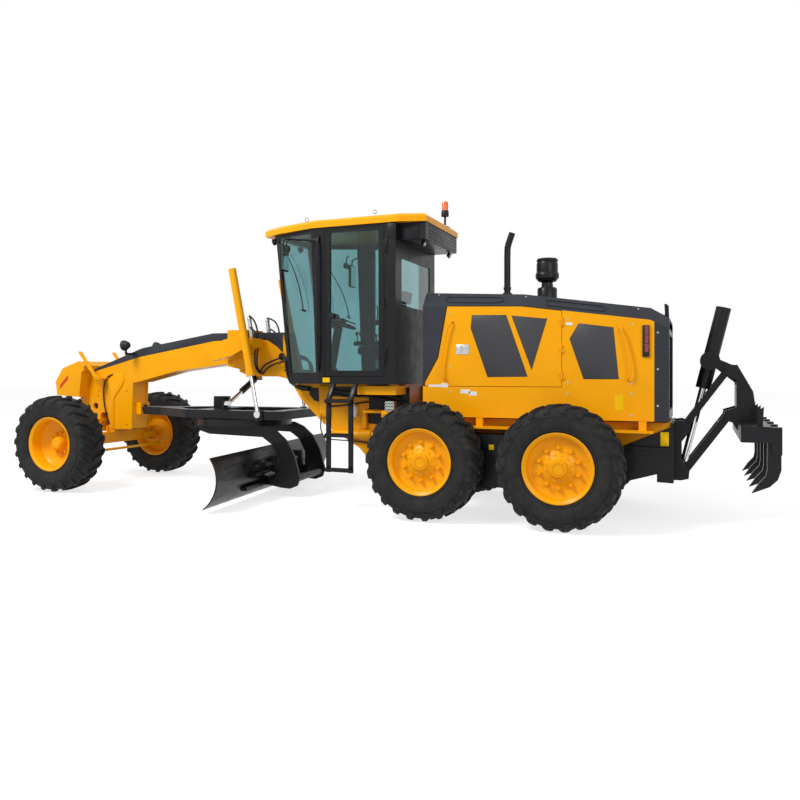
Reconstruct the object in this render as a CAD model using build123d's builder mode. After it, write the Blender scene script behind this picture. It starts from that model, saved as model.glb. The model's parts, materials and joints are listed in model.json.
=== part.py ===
"""Motor grader: an articulated six-wheel grader with a ripper, as separate pieces.

Millimetres. +X points forwards, +Y to the machine's left and +Z up. The origin lies
on the ground, under the middle of the parked machine.
"""

from build123d import *
from math import cos, hypot, radians, sin
import os

os.makedirs("parts", exist_ok=True)

# ---- Driving dimensions --------------------------------------------------------
WHEELBASE = 6260  # front axle to the middle of the tandem
TANDEM_X = -2080  # middle of the tandem
FRONT_X = TANDEM_X + WHEELBASE
TANDEM_SPACING = 1538  # between the two axles of the tandem
TRACK = 2155  # between the middles of the left and right tyres
TYRE_R = 674
TYRE_W = 445
BEAD_R = 345  # where the tyre sits on its rim
RIM_FLANGE_R = 372
RIM_WALL = 16
HUB_Z = TYRE_R
SEAT_GAP = 0.3  # between pieces that seat on each other across a joint
DOOR_GAP = 6  # round doors and panels
HINGE_SET = 3  # from a door's opening to its hinge axis
RUN_GAP = 0.5  # radial clearance of pins and rods

# Articulation joint between the rear and the front frame
HITCH_X = -980
HITCH_R = 140
HITCH_PIN_R = 50
HITCH_TONGUE_Z = (720, 1180)
HITCH_EAR = 80
HITCH_EAR_GAP = 10

# Rear frame
RAIL_Y = (380, 480)
RAIL_Z = (860, 1130)
REAR_PLATE_X = -3930
REAR_PLATE = 40
FRONT_CROSS_X = -1180

# Hood
HOOD_HALF = 630
HOOD_PANEL = 30
HOOD_BULKHEAD = 15
HOOD_FLOOR_Z = 1150
HOOD_SEAM_Z = 1510
HOOD_REAR_X = -3770  # back edge of the painted side panels
HOOD_BACK_X = HOOD_REAR_X - 150  # back of the radiator guard
HOOD_BEND_X = HOOD_REAR_X + 43  # where the hood bends down to the guard
HOOD_FRONT_X = -1130
HOOD_SPLIT_X = -2790  # between the side door and the rear panel

# Cab
CAB_HALF = 715
CAB_WALL = 45
CAB_FLOOR_Z = 1530
CAB_SILL_Z = 1616
CAB_TOP_Z = 3500
CAB_REAR_X = -810
DOOR_X = (-660, 156)
DOOR_Z = (1622, 3470)

# Front frame
BOOM_HALF = 170
BELLY_HALF = 300
NOSE_PLATE = 30

# Drawbar, circle and blade
BALL_X, BALL_Z = 3600, 1130
BALL_R = 62
CIRCLE_X = 1805
CIRCLE_R = 660
CIRCLE_BORE_R = 560
CIRCLE_Z = (945, 1030)
BLADE_ANGLE = 7  # degrees, left end back
BLADE_LENGTH = 3660
BLADE_PIVOT_X, BLADE_PIVOT_Z = -660, 210  # from the circle's centre

# Lift cylinders
LIFT_Y = 635
LIFT_EYE = (1190, 1120)
LIFT_TOP = (1590, 3060)
LIFT_TRUNNION_Z = 2080

# Ripper linkage
LINK_Y = (150, 190)
LINK_LOWER = (-4055, 567)
LINK_UPPER = (-4062, 1077)
LINK_REACH = (-455, 640)
RIPPER_TRUNNION = (-4329, 1806)
RIPPER_FOOT = (-4040, 602)


# ---- Helpers -------------------------------------------------------------------
def side_plane(y):
    """A plane seen from the right side: its x is X and its y is Z."""
    return Plane(origin=(0, y, 0), x_dir=(1, 0, 0), z_dir=(0, -1, 0))


def cross_plane(x):
    """A plane seen from the front: its x is Y and its y is Z."""
    return Plane(origin=(x, 0, 0), x_dir=(0, 1, 0), z_dir=(1, 0, 0))


def box(x, y, z):
    """A block from (low, high) pairs."""
    with BuildPart() as part:
        with Locations(((x[0] + x[1]) / 2, (y[0] + y[1]) / 2, (z[0] + z[1]) / 2)):
            Box(x[1] - x[0], y[1] - y[0], z[1] - z[0])
    return part.part


def side_slab(outline, y):
    """An (x, z) outline, solid between two y values."""
    with BuildPart() as part:
        with BuildSketch(side_plane(y[1])):
            with BuildLine():
                Polyline(*outline, close=True)
            make_face()
        extrude(amount=y[1] - y[0])
    return part.part


def cross_slab(outline, x):
    """A (y, z) outline, solid between two x values."""
    with BuildPart() as part:
        with BuildSketch(cross_plane(x[0])):
            with BuildLine():
                Polyline(*outline, close=True)
            make_face()
        extrude(amount=x[1] - x[0])
    return part.part


def flat_slab(outline, z):
    """An (x, y) outline, solid between two z values."""
    with BuildPart() as part:
        with BuildSketch(Plane.XY.offset(z[0])):
            with BuildLine():
                Polyline(*outline, close=True)
            make_face()
        extrude(amount=z[1] - z[0])
    return part.part


def bar(start, end, radius, bore=0):
    """A round bar, or a tube, between two points."""
    way = Vector(*end) - Vector(*start)
    with BuildPart() as part:
        with BuildSketch(Plane(origin=start, z_dir=way)):
            Circle(radius)
            if bore:
                Circle(bore, mode=Mode.SUBTRACT)
        extrude(amount=way.length)
    return part.part


def turned(profile, y, x=0, z=0):
    """A (radius, y) profile revolved about the wheel axis, then moved."""
    with BuildPart() as part:
        with BuildSketch(Plane.XY):
            with BuildLine():
                Polyline(*profile, close=True)
            make_face()
        revolve(axis=Axis.Y)
    return part.part.moved(Location((x, y, z)))


def flipped(part):
    """The same piece on the other side of the machine."""
    return mirror(part, about=Plane.XZ)


HINGE_LEAF = 35
HINGE_KNUCKLE = 45


def hinges(x, face_y, radius, heights):
    """Fixed and swinging halves of a row of hinges on the left face `face_y`."""
    axis_y = face_y + radius + 1
    halves = []
    for side, lift in ((-1, 0), (1, HINGE_KNUCKLE + SEAT_GAP)):
        with BuildPart() as half:
            for z in heights:
                low, high = z + lift, z + lift + HINGE_KNUCKLE
                add(bar((x, axis_y, low), (x, axis_y, high), radius))
                leaf_x = sorted((x, x + side * HINGE_LEAF))
                add(box(leaf_x, (face_y - 1, face_y + 8), (low, high)))
        halves.append(half.part)
    return halves


def write(part, label):
    part.label = label
    export_step(part, f"parts/{label}.step")


def pair(*parts):
    """Pieces of the left side, and their mirror images, as one part."""
    with BuildPart() as both:
        for part in parts:
            add(part)
            add(flipped(part))
    return both.part


# ---- Wheels --------------------------------------------------------------------
BARS = 22  # on each half of the tread
BAR_HEIGHT = 30
BAR_FOOT_R = 560  # how low the bars reach down the sidewall
BAR_REACH = 87  # from the middle of a bar's flat top to its corner
facet_turn = 180 / BARS  # there is one facet of the carcass under each bar
half_facet = radians(facet_turn / 2)
BAR_TOP = (TYRE_R - BAR_REACH * sin(half_facet)) / cos(half_facet)  # corners reach TYRE_R

# Half section of the carcass, from the rim's flange to the tread: (radius, y)
tread_r = TYRE_R - BAR_HEIGHT
half_tyre = TYRE_W / 2
CARCASS = [
    (RIM_FLANGE_R + 4, half_tyre - 50),
    (BEAD_R + 95, half_tyre - 10),
    (BEAD_R + 170, half_tyre),
    (tread_r - 40, half_tyre - 34),
    (tread_r, half_tyre - 87),
]
# A bar seen from above the tread, and in the tyre's half section
BAR_PLAN = [(-BAR_REACH, -12), (-23, -12), (73, 130), (BAR_REACH, TYRE_W), (23, TYRE_W), (9, 140)]
BAR_SECTION = [
    (-20, BAR_FOOT_R),
    (-20, BAR_TOP),
    (half_tyre - 75, BAR_TOP),
    (half_tyre - 22, BAR_TOP - 40),
    (half_tyre - 4, BAR_FOOT_R),
]


def make_tyre():
    """A tyre round the Y axis, its carcass faceted so that bars meet it in planes."""
    with BuildPart() as bar_on_top:
        with BuildSketch(Plane.XY.offset(BAR_FOOT_R)):
            with BuildLine():
                Polyline(*BAR_PLAN, close=True)
            make_face()
        extrude(amount=TYRE_R - BAR_FOOT_R)
        add(cross_slab(BAR_SECTION, (-TYRE_W / 2, TYRE_W / 2)), mode=Mode.INTERSECT)
    mirrored_bar = flipped(bar_on_top.part)
    with BuildPart() as tyre:
        for radius, y in CARCASS + [(r, -y) for r, y in reversed(CARCASS)]:
            with BuildSketch(Plane.XZ.offset(-y)):
                RegularPolygon(radius, 2 * BARS, rotation=90)
        loft(ruled=True)
        bars = []
        for i in range(2 * BARS):
            one = mirrored_bar if i % 2 else bar_on_top.part
            bars.append(one.moved(Location((0, 0, 0), (0, facet_turn * (i + 0.5), 0))))
        add(bars)
        bore = bar((0, -TYRE_W, 0), (0, TYRE_W, 0), BEAD_R)
        add(bore, mode=Mode.SUBTRACT)
    return tyre.part


def rear_rim_profile():
    """Half section of the shallow rim, with its outer side at +y."""
    half = TYRE_W / 2 - 50
    tandem_face = -(TRACK / 2 - TANDEM_Y[1] - SEAT_GAP)
    return [
        (0, 168),
        (88, 168),
        (100, 130),
        (150, 118),
        (178, 92),
        (BEAD_R - RIM_WALL, 76),
        (BEAD_R - RIM_WALL, half),
        (RIM_FLANGE_R, half + 14),
        (RIM_FLANGE_R, half),
        (BEAD_R, half),
        (BEAD_R, -half),
        (RIM_FLANGE_R, -half),
        (RIM_FLANGE_R, -half - 14),
        (BEAD_R - RIM_WALL, -half),
        (BEAD_R - RIM_WALL, 58),
        (120, 58),
        (120, tandem_face),
        (0, tandem_face),
    ]


def front_rim_profile():
    """Half section of the deep-dished rim, bored for its spindle."""
    half = TYRE_W / 2 - 50
    bore = SPINDLE_R + RUN_GAP
    return [
        (0, 72),
        (70, 62),
        (86, 40),
        (92, -40),
        (170, -52),
        (250, -34),
        (BEAD_R - RIM_WALL, 30),
        (BEAD_R - RIM_WALL, half),
        (RIM_FLANGE_R, half + 14),
        (RIM_FLANGE_R, half),
        (BEAD_R, half),
        (BEAD_R, -half),
        (RIM_FLANGE_R, -half),
        (RIM_FLANGE_R, -half - 14),
        (BEAD_R - RIM_WALL, -half),
        (BEAD_R - RIM_WALL, 8),
        (245, -54),
        (170, -72),
        (95, -72),
        (95, -118),
        (bore, -118),
        (bore, 30),
        (0, 30),
    ]


TANDEM_Y = (615, 835)  # inner and outer faces of the left tandem housing
SPINDLE_R = 42
WHEELS = {  # name: (x, rim profile)
    "rear": (TANDEM_X - TANDEM_SPACING / 2, rear_rim_profile()),
    "middle": (TANDEM_X + TANDEM_SPACING / 2, rear_rim_profile()),
    "front": (FRONT_X, front_rim_profile()),
}
tyre_model = make_tyre()
for place, (wheel_x, rim_profile) in WHEELS.items():
    tyre = tyre_model.moved(Location((wheel_x, TRACK / 2, HUB_Z)))
    rim = turned(rim_profile, TRACK / 2, wheel_x, HUB_Z)
    write(tyre, f"tyre_{place}_left")
    write(rim, f"rim_{place}_left")
    write(flipped(tyre), f"tyre_{place}_right")
    write(flipped(rim), f"rim_{place}_right")

# ---- Tandem drives and rear axle -----------------------------------------------
TANDEM_HALF_HEIGHT = 298
AXLE_R = 150
DIFF_R = 235
SADDLE_HALF = 150

with BuildPart() as tandem_drive:
    for side in (1, -1):
        with BuildSketch(side_plane(side * TANDEM_Y[0])):
            with Locations((TANDEM_X, HUB_Z)):
                SlotCenterToCenter(TANDEM_SPACING, 2 * TANDEM_HALF_HEIGHT)
        extrude(amount=-side * (TANDEM_Y[1] - TANDEM_Y[0]))
    add(bar((TANDEM_X, -TANDEM_Y[0], HUB_Z), (TANDEM_X, TANDEM_Y[0], HUB_Z), AXLE_R))
    add(bar((TANDEM_X, -200, HUB_Z), (TANDEM_X, 200, HUB_Z), DIFF_R))
    add(
        pair(
            box(
                (TANDEM_X - SADDLE_HALF, TANDEM_X + SADDLE_HALF),
                RAIL_Y,
                (HUB_Z, RAIL_Z[0]),
            )
        )
    )
write(tandem_drive.part, "tandem_drive")

# ---- Rear chassis --------------------------------------------------------------
ENGINE_X = (TANDEM_X - 600, TANDEM_X + 600)
ENGINE_HALF = 300
ENGINE_Z = (RAIL_Z[1] - 30, 1900)
CROSS_HALF = 40
WALKWAY_Z = (1035, 1050)
WALKWAY_X = (HOOD_REAR_X, -1260)
WALKWAY_EDGE_Y = TRACK / 2 - TYRE_W / 2 - 25

tongue_height = HITCH_TONGUE_Z[1] - HITCH_TONGUE_Z[0]
with BuildPart() as rear_chassis:
    add(pair(box((REAR_PLATE_X, FRONT_CROSS_X), RAIL_Y, RAIL_Z)))
    add(
        box(
            (REAR_PLATE_X, REAR_PLATE_X + REAR_PLATE),
            (-RAIL_Y[1], RAIL_Y[1]),
            RAIL_Z,
        )
    )
    add(
        box(
            (FRONT_CROSS_X - 60, FRONT_CROSS_X),
            (-RAIL_Y[1], RAIL_Y[1]),
            (HITCH_TONGUE_Z[0] - 60, HITCH_TONGUE_Z[1] + 20),
        )
    )
    for cross_x in (ENGINE_X[0] + 80, ENGINE_X[1] - 80):
        add(
            box(
                (cross_x - CROSS_HALF, cross_x + CROSS_HALF),
                (-RAIL_Y[0], RAIL_Y[0]),
                (RAIL_Z[0] + 60, ENGINE_Z[0]),
            )
        )
    # Hitch tongue, bored for the articulation pin
    add(
        box(
            (FRONT_CROSS_X, HITCH_X),
            (-HITCH_R, HITCH_R),
            HITCH_TONGUE_Z,
        )
    )
    with BuildSketch(Plane.XY.offset(HITCH_TONGUE_Z[0])):
        with Locations((HITCH_X, 0)):
            Circle(HITCH_R)
    extrude(amount=tongue_height)
    with Locations((HITCH_X, 0, sum(HITCH_TONGUE_Z) / 2)):
        Cylinder(HITCH_PIN_R + RUN_GAP, tongue_height, mode=Mode.SUBTRACT)
    # Walkways over the tandems, and the outriggers that carry the hood
    add(pair(box(WALKWAY_X, (RAIL_Y[1], WALKWAY_EDGE_Y), WALKWAY_Z)))
    for post_x in (HOOD_REAR_X + 120, TANDEM_X - 600, TANDEM_X + 250, HOOD_FRONT_X - 160):
        add(
            pair(
                box(
                    (post_x - 40, post_x + 40),
                    (RAIL_Y[1], HOOD_HALF - 5),
                    (WALKWAY_Z[1], HOOD_FLOOR_Z),
                )
            )
        )
write(rear_chassis.part, "rear_chassis")

write(box(ENGINE_X, (-ENGINE_HALF, ENGINE_HALF), ENGINE_Z), "engine_block")

# ---- Hood ----------------------------------------------------------------------
# Stations from front to back: x, height of the cover's lower edge, height of its top
HOOD_STATIONS = [
    (HOOD_FRONT_X, 2475, 2645),
    (-2335, 2437, 2583),
    (HOOD_BEND_X, 2243, 2381),
    (HOOD_BACK_X, 2150, 2267),
]
HOOD_TOP_HALF = 500


def hood_loft(inset):
    """The hood's cover as a solid, `inset` inside its outer surface."""
    with BuildPart() as part:
        for x, low, top in HOOD_STATIONS:
            x = x - inset if x == HOOD_FRONT_X else x
            with BuildSketch(cross_plane(x)):
                with BuildLine():
                    Polyline(
                        (-HOOD_HALF + inset, low - inset),
                        (-HOOD_TOP_HALF + inset / 2, top - inset),
                        (HOOD_TOP_HALF - inset / 2, top - inset),
                        (HOOD_HALF - inset, low - inset),
                        close=True,
                    )
                make_face()
        loft(ruled=True)
    return part.part


def hood_edge_z(x):
    """Height of the cover's lower edge at x."""
    for (x1, z1, _), (x0, z0, _) in zip(HOOD_STATIONS, HOOD_STATIONS[1:]):
        if x >= x0:
            return z0 + (z1 - z0) * (x - x0) / (x1 - x0)
    return HOOD_STATIONS[-1][1]


# The slanted front edge of the painted side, from the cover down to the sill
HOOD_SLANT = [(-1427, hood_edge_z(-1427)), (-1315, 1854), (-1145, 1554)]
side_y = (HOOD_HALF - HOOD_PANEL, HOOD_HALF)

with BuildPart() as hood_cover:
    add(hood_loft(0))
    add(hood_loft(HOOD_PANEL), mode=Mode.SUBTRACT)
    # Front end: dark side panels ahead of the slanted edge, and the bulkhead
    front_side = [
        (HOOD_FRONT_X, hood_edge_z(HOOD_FRONT_X)),
        *HOOD_SLANT,
        (-1145, HOOD_SEAM_Z),
        (HOOD_FRONT_X, HOOD_SEAM_Z),
    ]
    add(pair(side_slab(front_side, side_y)))
    front_low, front_top = HOOD_STATIONS[0][1:]
    bulkhead = [(HOOD_HALF, HOOD_SEAM_Z), (HOOD_HALF, front_low), (HOOD_TOP_HALF, front_top)]
    bulkhead += [(-y, z) for y, z in reversed(bulkhead)]
    add(cross_slab(bulkhead, (HOOD_FRONT_X - HOOD_BULKHEAD, HOOD_FRONT_X)))
write(hood_cover.part, "hood_cover")

rear_panel = [
    (HOOD_REAR_X, HOOD_SEAM_Z),
    (HOOD_SPLIT_X, HOOD_SEAM_Z),
    (HOOD_SPLIT_X, hood_edge_z(HOOD_SPLIT_X)),
    (HOOD_BEND_X, hood_edge_z(HOOD_BEND_X)),
    (HOOD_REAR_X, hood_edge_z(HOOD_REAR_X)),
]
WINDOW = [(-2974, 2225), (-3348, 2172), (-3405, 1602), (-3026, 1601), (-2872, 2053)]
WINDOW_DEPTH = 12
with BuildPart() as rear_quarter:
    add(side_slab(rear_panel, side_y))
    add(
        side_slab(WINDOW, (HOOD_HALF - WINDOW_DEPTH, HOOD_HALF)),
        mode=Mode.SUBTRACT,
    )
hood_hinges = hinges(HOOD_SPLIT_X + HINGE_SET, HOOD_HALF, 10, (1600, 1900, 2200))
sill = box(
    (HOOD_REAR_X, HOOD_FRONT_X),
    side_y,
    (HOOD_FLOOR_Z, HOOD_SEAM_Z),
)
with BuildPart() as hood_sides:
    add(pair(sill, rear_quarter.part, hood_hinges[0]))
    add(
        box(
            (HOOD_FRONT_X - HOOD_BULKHEAD, HOOD_FRONT_X),
            (-HOOD_HALF + HOOD_PANEL, HOOD_HALF - HOOD_PANEL),
            (HITCH_TONGUE_Z[1] + 5, HOOD_SEAM_Z),
        )
    )
write(hood_sides.part, "hood_sides")

# Side doors, hinged at their rear edge
GLAZE_FRONT = [(-1743, 2351), (-2153, 2340), (-2403, 1627), (-1931, 1621), (-1725, 2198)]
GLAZE_REAR = [(-2212, 2332), (-2626, 2284), (-2448, 1700)]
door_outline = [
    (HOOD_SPLIT_X + DOOR_GAP, HOOD_SEAM_Z + DOOR_GAP),
    (-1145 - 2 * DOOR_GAP, HOOD_SEAM_Z + DOOR_GAP),
    *[(x - 2 * DOOR_GAP, z) for x, z in reversed(HOOD_SLANT[1:])],
    (HOOD_SLANT[0][0] - 2 * DOOR_GAP, HOOD_SLANT[0][1] - DOOR_GAP),
    (-2335, 2437 - DOOR_GAP),
    (HOOD_SPLIT_X + DOOR_GAP, hood_edge_z(HOOD_SPLIT_X) - DOOR_GAP),
]
with BuildPart() as hood_door:
    add(side_slab(door_outline, side_y))
    add(hood_hinges[1])
    for glaze in (GLAZE_FRONT, GLAZE_REAR):
        add(
            side_slab(glaze, (HOOD_HALF - WINDOW_DEPTH, HOOD_HALF)),
            mode=Mode.SUBTRACT,
        )
write(hood_door.part, "hood_door_left")
write(flipped(hood_door.part), "hood_door_right")

# Radiator guard at the back, with its slats
GUARD_OPENING_Y = 530
GUARD_OPENING_Z = (1260, 2090)
SLATS = 12
SLAT = (60, 12)  # depth and thickness
guard_outline = [
    (HOOD_BACK_X, HOOD_FLOOR_Z),
    (HOOD_REAR_X, HOOD_FLOOR_Z),
    (HOOD_REAR_X, hood_edge_z(HOOD_REAR_X)),
    (HOOD_BACK_X, hood_edge_z(HOOD_BACK_X)),
]
slat_pitch = (GUARD_OPENING_Z[1] - GUARD_OPENING_Z[0]) / SLATS
with BuildPart() as radiator_guard:
    add(side_slab(guard_outline, (-HOOD_HALF, HOOD_HALF)))
    # The hood's cover lies over the guard
    add(
        box(
            (HOOD_BACK_X, HOOD_REAR_X),
            (-GUARD_OPENING_Y, GUARD_OPENING_Y),
            GUARD_OPENING_Z,
        ),
        mode=Mode.SUBTRACT,
    )
    for i in range(SLATS):
        slat_z = GUARD_OPENING_Z[0] + (i + 0.5) * slat_pitch
        add(
            box(
                (HOOD_BACK_X + 30, HOOD_BACK_X + 30 + SLAT[0]),
                (-GUARD_OPENING_Y - 5, GUARD_OPENING_Y + 5),
                (slat_z, slat_z + SLAT[1]),
            )
        )
    # The radiator core closes the opening's inner side
    add(
        box(
            (HOOD_REAR_X - 25, HOOD_REAR_X),
            (-GUARD_OPENING_Y - 5, GUARD_OPENING_Y + 5),
            (GUARD_OPENING_Z[0] - 5, GUARD_OPENING_Z[1] + 5),
        )
    )
write(radiator_guard.part, "radiator_guard")

LAMP_Z = (1847, 2150)
tail_lamp = box((-3717, -3656), (HOOD_HALF, HOOD_HALF + 18), LAMP_Z)
write(pair(tail_lamp), "tail_lights")

# Exhaust stack and pre-cleaner, seated on the sloping cover
EXHAUST_X = -2013
EXHAUST_R = 40
CLEANER_X = -2506
with BuildPart() as stacks:
    add(bar((EXHAUST_X, 0, 2580), (EXHAUST_X, 0, 3230), EXHAUST_R))
    add(bar((EXHAUST_X, 0, 3200), (EXHAUST_X - 62, 0, 3400), EXHAUST_R))
    add(bar((EXHAUST_X, 0, 2580), (EXHAUST_X, 0, 2660), EXHAUST_R + 22))
    for radius, low, high in (
        (118, 2540, 2700),
        (70, 2700, 2770),
        (120, 2770, 2830),
        (145, 2830, 2990),
        (118, 2990, 3054),
    ):
        add(bar((CLEANER_X, 0, low), (CLEANER_X, 0, high), radius))
    add(hood_loft(0), mode=Mode.SUBTRACT)
write(stacks.part, "stacks")

# ---- Front frame ---------------------------------------------------------------
# Side outlines as (x, z)
BELLY = [
    (-780, CAB_FLOOR_Z),
    (-780, 640),
    (-300, 598),
    (-234, 590),
    (-130, 700),
    (399, 1008),
    (733, 1327),
    (886, 1562),
    (940, 1620),
    (940, 1700),
    (830, CAB_FLOOR_Z),
]
BOOM_TOP = [(1081, 2212), (2229, 2222), (3509, 2023), (4507, 1682)]
BOOM = [
    (640, 1400),
    (733, 1400),
    (886, 1562),
    (1160, 1619),
    (1480, 1619),
    (1961, 1801),
    (2900, 1688),
    (3602, 1526),
    (3870, 1512),
    (4528, 1500),
    *reversed(BOOM_TOP),
    (1029, 1984),
    (960, 1720),
    (835, CAB_FLOOR_Z),
    (640, CAB_FLOOR_Z - 5),
]
NOSE_FRONT = [(4520, 800), (4550, 1300), (4528, 1500), (4507, 1682)]
NOSE = [(3677, 1540), (3710, 820), *NOSE_FRONT, (4300, 1700)]
ARCH = [(4085, 700), (4085, 1030), (4110, 1060), (4280, 1060), (4305, 1030), (4305, 700)]
TOW_HOLE = (4400, 1159)
TOW_HOLE_R = 50
AXLE_PIN_Z = 815
AXLE_PIN_R = 30
CAB_BRACKET_X = (-783, -266)

# Socket round the front half of the drawbar's ball
ball_seat = BALL_R + SEAT_GAP
with BuildPart() as ball_socket:
    add(box((BALL_X - 5, 3710), (-95, 95), (BALL_Z - 90, BALL_Z + 90)))
    add(
        bar((BALL_X - 6, 0, BALL_Z), (BALL_X + BALL_R + 8, 0, BALL_Z), ball_seat),
        mode=Mode.SUBTRACT,
    )

with BuildPart() as boom:
    add(side_slab(BELLY, (-BELLY_HALF, BELLY_HALF)))
    add(side_slab(BOOM, (-BOOM_HALF, BOOM_HALF)))
    add(pair(side_slab(NOSE, (BOOM_HALF - NOSE_PLATE, BOOM_HALF))))
    add(box((3700, 3740), (-BOOM_HALF + 5, BOOM_HALF - 5), (830, 1540)))
    nose_plate = [(4480, 800), *NOSE_FRONT[:3], (4520, 1560), (4490, 1560)]
    add(side_slab(nose_plate, (-BOOM_HALF + 5, BOOM_HALF - 5)))
    add(pair(side_slab(ARCH, (BOOM_HALF - NOSE_PLATE - 5, BOOM_HALF + 5))), mode=Mode.SUBTRACT)
    # Cross plates and pin that hold the front axle
    for plate_x in (4040, 4300):
        add(box((plate_x, plate_x + 40), (-BOOM_HALF + 5, BOOM_HALF - 5), (768, 1100)))
    add(bar((4040, 0, AXLE_PIN_Z), (4340, 0, AXLE_PIN_Z), AXLE_PIN_R))
    with BuildSketch(side_plane(0)):
        with Locations(TOW_HOLE):
            Circle(TOW_HOLE_R)
    extrude(amount=BOOM_HALF + 5, both=True, mode=Mode.SUBTRACT)
    add(ball_socket.part)
    # Hitch ears above and below the rear frame's tongue, with the pin
    for low in (
        HITCH_TONGUE_Z[0] - HITCH_EAR_GAP - HITCH_EAR,
        HITCH_TONGUE_Z[1] + HITCH_EAR_GAP,
    ):
        add(box((HITCH_X, -770), (-HITCH_R, HITCH_R), (low, low + HITCH_EAR)))
        add(bar((HITCH_X, 0, low), (HITCH_X, 0, low + HITCH_EAR), HITCH_R))
    add(
        bar(
            (HITCH_X, 0, HITCH_TONGUE_Z[0] - HITCH_EAR),
            (HITCH_X, 0, HITCH_TONGUE_Z[1] + HITCH_EAR),
            HITCH_PIN_R,
        )
    )
    # Cab brackets with their rubber mounts
    add(pair(box(CAB_BRACKET_X, (BELLY_HALF - 5, 640), (1400, 1508))))
    for mount_x in (-720, -330):
        add(pair(bar((mount_x, 560, 1500), (mount_x, 560, CAB_FLOOR_Z), 60)))
write(boom.part, "boom")

CAP = 12
cap_outline = [*BOOM_TOP[:3], (4420, 1712), (4420, 1712 + CAP)]
cap_outline += [(3509, 2023 + CAP), (2229, 2222 + CAP), (1081, 2212 + CAP)]
write(side_slab(cap_outline, (-BOOM_HALF, BOOM_HALF)), "boom_cap")

PUSH_HALF = 350
PUSH_SEAT_X = 4466
(back_x, back_z), (front_x, front_z) = BOOM_TOP[2:]
push_seat_z = front_z + (back_z - front_z) * (front_x - PUSH_SEAT_X) / (front_x - back_x)
PUSH_BLOCK = [
    (PUSH_SEAT_X, push_seat_z),
    (PUSH_SEAT_X, 1773),
    (4569, 1843),
    (4879, 1738),
    (5027, 1531),
    (4994, 1322),
    *NOSE_FRONT[1:],
]
write(side_slab(PUSH_BLOCK, (-PUSH_HALF, PUSH_HALF)), "push_block")

# ---- Saddle that carries the lift and centre-shift cylinders -------------------
lift_way = Vector(LIFT_TOP[0] - LIFT_EYE[0], 0, LIFT_TOP[1] - LIFT_EYE[1]).normalized()
lift_length = hypot(LIFT_TOP[0] - LIFT_EYE[0], LIFT_TOP[1] - LIFT_EYE[1])
trunnion_x = LIFT_EYE[0] + lift_way.X / lift_way.Z * (LIFT_TRUNNION_Z - LIFT_EYE[1])
LIFT_BARREL_R = 52
LIFT_ROD_R = 24
TRUNNION_R = 25
SADDLE_X = (1640, 1960)
SADDLE_PLATE = 40
SHIFT_X = 1790
SHIFT_PIVOT = (-280, 1600)  # y, z
SHIFT_EYE = (450, 1240)
SHIFT_BARREL_R = 45
SHIFT_ROD_R = 24
SHIFT_EYE_HALF = 30
SHIFT_LUG_GAP = 7  # the drawbar's lug tilts towards the eye as it sinks



def boom_floor_z(x):
    """Height of the boom's underside where the saddle holds it."""
    (x0, z0), (x1, z1) = BOOM[4], BOOM[5]
    return z0 + (z1 - z0) * (x - x0) / (x1 - x0)


ring_y = (LIFT_Y - LIFT_BARREL_R - 55, LIFT_Y - LIFT_BARREL_R - 5)
arm_outline = [
    (1960, 1830),
    (1960, 2060),
    (1640, 2150),
    (trunnion_x, LIFT_TRUNNION_Z + 60),
    (trunnion_x, LIFT_TRUNNION_Z - 60),
    (1640, 1900),
]
with BuildPart() as saddle:
    # Cheeks on both sides of the boom, closed above and below it
    cheek = [(1660, 1700), (1960, 1760), (1960, 2270), (1640, 2270), (1640, 1700)]
    add(pair(side_slab(cheek, (BOOM_HALF, BOOM_HALF + SADDLE_PLATE))))
    add(box(SADDLE_X, (-BOOM_HALF, BOOM_HALF), (2222 + CAP, 2270)))
    strap = [(x, boom_floor_z(x) - drop) for x, drop in ((1660, 0), (1760, 0), (1760, 40), (1660, 40))]
    add(side_slab(strap, (-BOOM_HALF - SADDLE_PLATE, BOOM_HALF + SADDLE_PLATE)))
    # Lift arms out to the trunnions
    add(pair(side_slab(arm_outline, (BOOM_HALF + SADDLE_PLATE - 5, ring_y[1]))))
    add(
        pair(
            box(
                (1500, 2000),
                (BOOM_HALF + SADDLE_PLATE + 50, ring_y[0] - 40),
                (1700, 1990),
            )
        ),
        mode=Mode.SUBTRACT,
    )
    add(
        pair(
            bar(
                (trunnion_x, ring_y[0], LIFT_TRUNNION_Z),
                (trunnion_x, ring_y[1], LIFT_TRUNNION_Z),
                62,
            )
        )
    )
    add(
        pair(
            bar(
                (trunnion_x, ring_y[0] - 5, LIFT_TRUNNION_Z),
                (trunnion_x, ring_y[1] + 5, LIFT_TRUNNION_Z),
                TRUNNION_R + RUN_GAP,
            )
        ),
        mode=Mode.SUBTRACT,
    )
    # Clevis for the centre-shift cylinder, below the right cheek
    for ear_x in (SHIFT_X - 60, SHIFT_X + 35):
        add(
            cross_slab(
                [
                    (-BOOM_HALF - SADDLE_PLATE, 1770),
                    (-BOOM_HALF, 1770),
                    (-BOOM_HALF, 1700),
                    (SHIFT_PIVOT[0] + 45, 1560),
                    (SHIFT_PIVOT[0] - 45, 1560),
                    (SHIFT_PIVOT[0] - 45, 1640),
                    (-BOOM_HALF - SADDLE_PLATE, 1730),
                ],
                (ear_x, ear_x + 25),
            )
        )
    add(
        bar(
            (SHIFT_X - 60, SHIFT_PIVOT[0], SHIFT_PIVOT[1]),
            (SHIFT_X + 60, SHIFT_PIVOT[0], SHIFT_PIVOT[1]),
            18,
        )
    )
write(saddle.part, "saddle")


def along_lift(distance, y=LIFT_Y):
    """A point on the lift cylinder's axis, measured up from its eye."""
    return (LIFT_EYE[0] + lift_way.X * distance, y, LIFT_EYE[1] + lift_way.Z * distance)


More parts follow.
